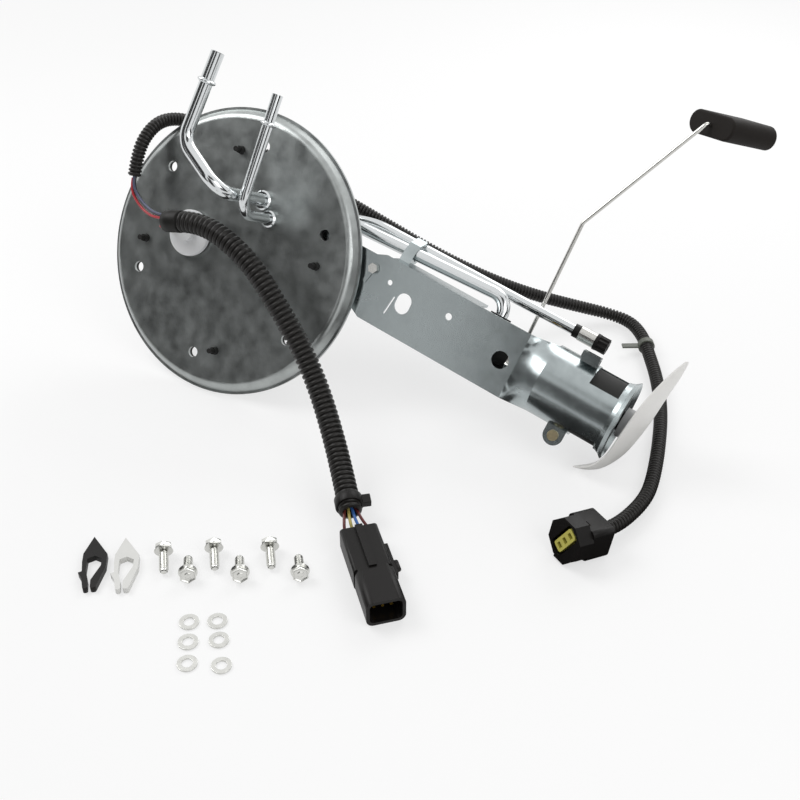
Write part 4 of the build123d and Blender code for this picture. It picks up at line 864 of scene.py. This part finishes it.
class MODULE_OT_screws(bpy.types.Operator):
    """Makes one flanged hexagon screw with its thread, and lays six of them out"""

    bl_idname = "module.screws"
    bl_label = "Screws"

    def execute(self, context):
        sizes = context.scene.module_hardware
        pattern = self.pattern(sizes)
        for i, (x, y, way) in enumerate(SCREW_SPOTS):
            lying = within(
                TABLE,
                (x, y, SCREW_FLANGE_RADIUS * cos(SCREW_TIP_DROP)),
                (SHANK_WAY[1] * way, -SHANK_WAY[0] * way, 0),
                (
                    SHANK_WAY[0] * way * cos(SCREW_TIP_DROP),
                    SHANK_WAY[1] * way * cos(SCREW_TIP_DROP),
                    -sin(SCREW_TIP_DROP),
                ),
            )
            lying.translation *= MM
            made = bpy.data.objects.new(f"screw_{i + 1}", pattern.data.copy())
            made.data.transform(lying)
            context.scene.collection.objects.link(made)
            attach(made, "module")
            if i == 0:
                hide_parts("screws")
        bpy.data.objects.remove(pattern)
        return {"FINISHED"}

    def pattern(self, sizes):
        """One screw along +z, with the bearing face of its flange at the origin."""
        depth = 0.55 * sizes.thread_pitch
        core = sizes.thread_diameter / 2 - depth
        length = sizes.shank_length
        chamfer = 0.5 * MM
        clear_selection()
        bpy.ops.mesh.primitive_cylinder_add(
            vertices=28, radius=core, depth=length, location=(0, 0, length / 2)
        )
        shank = bpy.context.object
        shank.name = "screw_pattern"
        bpy.ops.object.transform_apply(location=True)
        self.bevel_end(shank, length, chamfer)
        thread = self.thread(sizes, core, length)
        flange = self.flange()
        head = self.head(sizes)
        make_active(shank)
        for part in (thread, flange, head):
            part.select_set(True)
        bpy.ops.object.join()
        bpy.ops.object.shade_smooth_by_angle(angle=radians(35))
        shank.data.materials.clear()
        shank.data.materials.append(FINISH["fastener zinc"])
        return shank

    def bevel_end(self, made, height, width):
        make_active(made)
        for edge in made.data.edges:
            ends = [made.data.vertices[v].co.z for v in edge.vertices]
            edge.select = min(ends) > height - 0.01 * MM
        bpy.ops.object.mode_set(mode="EDIT")
        bpy.ops.mesh.select_mode(type="EDGE")
        bpy.ops.mesh.bevel(offset=width, segments=1)
        bpy.ops.object.mode_set(mode="OBJECT")

    def thread(self, sizes, core, length):
        """The helical ridge, swept from one tooth."""
        pitch = sizes.thread_pitch
        crest = sizes.thread_diameter / 2
        start = 1.2 * MM
        turns = int((length - start - pitch) / pitch)
        inner = core - 0.1 * MM
        foot = 0.42 * pitch
        top = 0.08 * pitch
        tooth = [
            (inner, 0, start - foot),
            (crest, 0, start - top),
            (crest, 0, start + top),
            (inner, 0, start + foot),
        ]
        mesh = bpy.data.meshes.new("screw_thread")
        mesh.from_pydata(tooth, [(0, 1), (1, 2), (2, 3), (3, 0)], [])
        made = bpy.data.objects.new("screw_thread", mesh)
        bpy.context.scene.collection.objects.link(made)
        winding = made.modifiers.new("Winding", "SCREW")
        winding.axis = "Z"
        winding.steps = 20
        winding.render_steps = 20
        winding.iterations = turns
        winding.screw_offset = pitch
        make_active(made)
        bpy.ops.object.modifier_apply(modifier="Winding")
        bpy.ops.object.mode_set(mode="EDIT")
        bpy.ops.mesh.select_all(action="DESELECT")
        bpy.ops.mesh.select_non_manifold()
        bpy.ops.mesh.edge_face_add()
        bpy.ops.mesh.select_all(action="SELECT")
        bpy.ops.mesh.normals_make_consistent(inside=False)
        bpy.ops.object.mode_set(mode="OBJECT")
        return made

    def flange(self):
        """The washer-like flange under the head, with a sloping top."""
        under_head = 4.2 * MM
        slope = 0.9 * MM
        edge = 0.3 * MM
        taper = 0.94
        clear_selection()
        bpy.ops.mesh.primitive_cone_add(
            vertices=40,
            radius1=under_head,
            radius2=SCREW_FLANGE_RADIUS * MM,
            depth=slope,
            location=(0, 0, -edge - slope / 2),
        )
        made = bpy.context.object
        bpy.ops.object.transform_apply(location=True)
        bpy.ops.object.mode_set(mode="EDIT")
        bpy.ops.mesh.select_all(action="DESELECT")
        bpy.ops.object.mode_set(mode="OBJECT")
        for face in made.data.polygons:
            face.select = face.normal.z > 0.9
        bpy.ops.object.mode_set(mode="EDIT")
        bpy.ops.mesh.extrude_region_move(TRANSFORM_OT_translate={"value": (0, 0, edge)})
        bpy.ops.transform.resize(value=(taper, taper, 1))
        bpy.ops.object.mode_set(mode="OBJECT")
        return made

    def head(self, sizes):
        """The hexagon with turned-down corners and a dished face."""
        corner = sizes.head_across / 2 / cos(pi / 6)
        height = 3.1 * MM
        start = 0.9 * MM
        clear_selection()
        bpy.ops.mesh.primitive_cylinder_add(
            vertices=6, radius=corner, depth=height, location=(0, 0, -start - height / 2)
        )
        made = bpy.context.object
        bpy.ops.object.transform_apply(location=True)
        bpy.ops.object.mode_set(mode="EDIT")
        bpy.ops.mesh.select_all(action="DESELECT")
        bpy.ops.object.mode_set(mode="OBJECT")
        for face in made.data.polygons:
            face.select = face.normal.z < -0.9
        bpy.ops.object.mode_set(mode="EDIT")
        # Flat rim, step down, gentle slope, and a low crown in the middle: width and rise in mm
        for width, rise in ((0.45, 0.0), (0.35, -0.5), (1.5, -0.25), (0.25, 0.3)):
            bpy.ops.mesh.inset(thickness=width * MM, depth=rise * MM)
        bpy.ops.object.mode_set(mode="OBJECT")
        turned = made.modifiers.new("Turned corners", "BEVEL")
        turned.width = 0.25 * MM
        turned.segments = 2
        turned.limit_method = "ANGLE"
        turned.angle_limit = radians(40)
        bpy.ops.object.modifier_apply(modifier="Turned corners")
        return made


class MODULE_OT_stage(bpy.types.Operator):
    """Sets the floor, the studio light and the camera"""

    bl_idname = "module.stage"
    bl_label = "Stage"

    def execute(self, context):
        self.floor()
        self.world(context.scene)
        for lamp in LAMPS:
            self.lamp(*lamp)
        for card in CARDS:
            self.card(*card)
        self.low_card("low_card", LOW_CARD_AT, *LOW_CARD_SIZE)
        self.camera(context.scene)
        context.scene.view_settings.view_transform = "Standard"
        return {"FINISHED"}

    def floor(self):
        clear_selection()
        bpy.ops.mesh.primitive_plane_add(size=FLOOR_SIZE, location=(0, 0, -FLOOR_DROP))
        floor = bpy.context.object
        floor.name = "studio_floor"
        material = bpy.data.materials.new("Pale_paper_sweep")
        material.use_nodes = True
        tree = material.node_tree
        shader = tree.nodes["Principled BSDF"]
        shader.inputs["Base Color"].default_value = rgba("#f2f2f2")
        shader.inputs["Roughness"].default_value = 0.9
        shader.inputs["Specular IOR Level"].default_value = 0.1
        rays = node(tree, "ShaderNodeLightPath")
        seen = self.seen_directly(tree, rays)
        place = node(tree, "ShaderNodeTexCoord").outputs["Object"]
        distance = node(tree, "ShaderNodeVectorMath", {0: place}, operation="LENGTH")
        fade = node(
            tree,
            "ShaderNodeMapRange",
            {
                "Value": distance.outputs["Value"],
                "From Min": FLOOR_FADE[0],
                "From Max": FLOOR_FADE[1],
                "To Min": FLOOR_GLOW[0],
                "To Max": FLOOR_GLOW[1],
            },
            interpolation_type="SMOOTHSTEP",
        )
        part = node(tree, "ShaderNodeMath", {0: seen, 1: fade.outputs[0]}, operation="MULTIPLY")
        glow = node(tree, "ShaderNodeEmission", {"Color": rgba("#ffffff"), "Strength": 1.0})
        blend = node(
            tree,
            "ShaderNodeMixShader",
            {0: part.outputs[0], 1: shader.outputs[0], 2: glow.outputs[0]},
        )
        output = tree.nodes["Material Output"]
        tree.links.new(blend.outputs[0], output.inputs["Surface"])
        floor.data.materials.append(material)

    def seen_directly(self, tree, rays):
        """1 for camera, glossy and transmission rays."""
        first = node(
            tree,
            "ShaderNodeMath",
            {0: rays.outputs["Is Camera Ray"], 1: rays.outputs["Is Glossy Ray"]},
            operation="MAXIMUM",
        )
        both = node(
            tree,
            "ShaderNodeMath",
            {0: first.outputs[0], 1: rays.outputs["Is Transmission Ray"]},
            operation="MAXIMUM",
        )
        return both.outputs[0]

    def world(self, scene):
        world = bpy.data.worlds.new("White_studio")
        world.use_nodes = True
        tree = world.node_tree
        background = tree.nodes["Background"]
        background.inputs["Color"].default_value = rgba("#ffffff")
        rays = node(tree, "ShaderNodeLightPath")
        strength = node(
            tree,
            "ShaderNodeMapRange",
            {"Value": self.seen_directly(tree, rays), "To Min": ROOM_LIGHT, "To Max": 1.0},
        )
        tree.links.new(strength.outputs[0], background.inputs["Strength"])
        scene.world = world

    def lamp(self, name, place, target, size, power):
        data = bpy.data.lights.new(name, "AREA")
        data.shape = "SQUARE"
        data.size = size * MM
        data.energy = power
        made = bpy.data.objects.new(name, data)
        bpy.context.scene.collection.objects.link(made)
        made.location = Vector(place) * MM
        way = Vector(target) - Vector(place)
        made.rotation_mode = "QUATERNION"
        made.rotation_quaternion = way.to_track_quat("-Z", "Y")

    def card(self, name, offset, spread, low, high):
        """A grey card that stands beside the camera: degrees from the camera's side, and mm."""
        turn = radians(CAMERA_SIDE + offset)
        middle = (CARD_DISTANCE * cos(turn), CARD_DISTANCE * sin(turn), (low + high) / 2)
        stand = axes(middle, (-sin(turn), cos(turn), 0), (cos(turn), sin(turn), 0))
        self.grey_sheet(name, stand, 2 * CARD_DISTANCE * tan(radians(spread / 2)), high - low)

    def low_card(self, name, place, width, depth):
        """A grey card that lies just over the floor."""
        turn = radians(CAMERA_SIDE)
        height = 1.0
        lying = axes((*place, height), (-sin(turn), cos(turn), 0), (0, 0, 1))
        self.grey_sheet(name, lying, width, depth)

    def grey_sheet(self, name, stand, width, height):
        """One grey card that neither the camera nor the light sees, placed by its frame in mm."""
        clear_selection()
        bpy.ops.mesh.primitive_plane_add(size=1.0, location=(0, 0, 0))
        card = bpy.context.object
        card.name = name
        stand.translation *= MM
        card.data.transform(stand @ Matrix.Diagonal((width * MM, height * MM, 1, 1)))
        material = bpy.data.materials.new("Grey_card")
        material.use_nodes = True
        shader = material.node_tree.nodes["Principled BSDF"]
        shader.inputs["Base Color"].default_value = rgba("#323232")
        shader.inputs["Roughness"].default_value = 0.9
        card.data.materials.append(material)
        card.visible_camera = False
        card.visible_diffuse = False
        card.visible_shadow = False

    def camera(self, scene):
        data = bpy.data.cameras.new("photo_camera")
        data.lens = CAMERA_LENS
        data.sensor_width = 36.0
        data.clip_start = 0.01
        data.clip_end = 50.0
        made = bpy.data.objects.new("photo_camera", data)
        scene.collection.objects.link(made)
        forward = Vector(CAMERA_VIEW).normalized()
        right = forward.cross(Vector((0, 0, 1))).normalized()
        up = right.cross(forward)
        made.rotation_mode = "QUATERNION"
        made.rotation_quaternion = Matrix((right, up, -forward)).transposed().to_quaternion()
        made.location = (TABLE @ Vector(CAMERA_AT)) * MM
        scene.camera = made


class MODULE_PT_panel(bpy.types.Panel):
    """Lists the pieces of the fuel pump module"""

    bl_idname = "MODULE_PT_panel"
    bl_label = "Fuel pump module"
    bl_space_type = "VIEW_3D"
    bl_region_type = "UI"
    bl_category = "Fuel module"

    def draw(self, context):
        for operator in OPERATORS:
            self.layout.operator(operator.bl_idname)
        for group in SETTINGS:
            settings = getattr(context.scene, group)
            box = self.layout.box()
            for name in settings.bl_rna.properties.keys():
                if name not in ("rna_type", "name"):
                    box.prop(settings, name)


OPERATORS = (
    MODULE_OT_stage,
    MODULE_OT_finish_nodes,
    MODULE_OT_main_harness,
    MODULE_OT_branch_harness,
    MODULE_OT_strainer,
    MODULE_OT_screws,
)
SETTINGS = {
    "module_metal": MetalLooks,
    "module_plastic": PlasticLooks,
    "module_harness": HarnessSizes,
    "module_hardware": HardwareSizes,
}


def register():
    for group, settings in SETTINGS.items():
        bpy.utils.register_class(settings)
        setattr(bpy.types.Scene, group, bpy.props.PointerProperty(type=settings))
    for operator in OPERATORS:
        bpy.utils.register_class(operator)
    bpy.utils.register_class(MODULE_PT_panel)


def unregister():
    bpy.utils.unregister_class(MODULE_PT_panel)
    for operator in reversed(OPERATORS):
        bpy.utils.unregister_class(operator)
    for group, settings in SETTINGS.items():
        delattr(bpy.types.Scene, group)
        bpy.utils.unregister_class(settings)


def main():
    register()
    for operator in OPERATORS:
        group, name = operator.bl_idname.split(".")
        getattr(getattr(bpy.ops, group), name)()


if __name__ == "__main__":
    main()
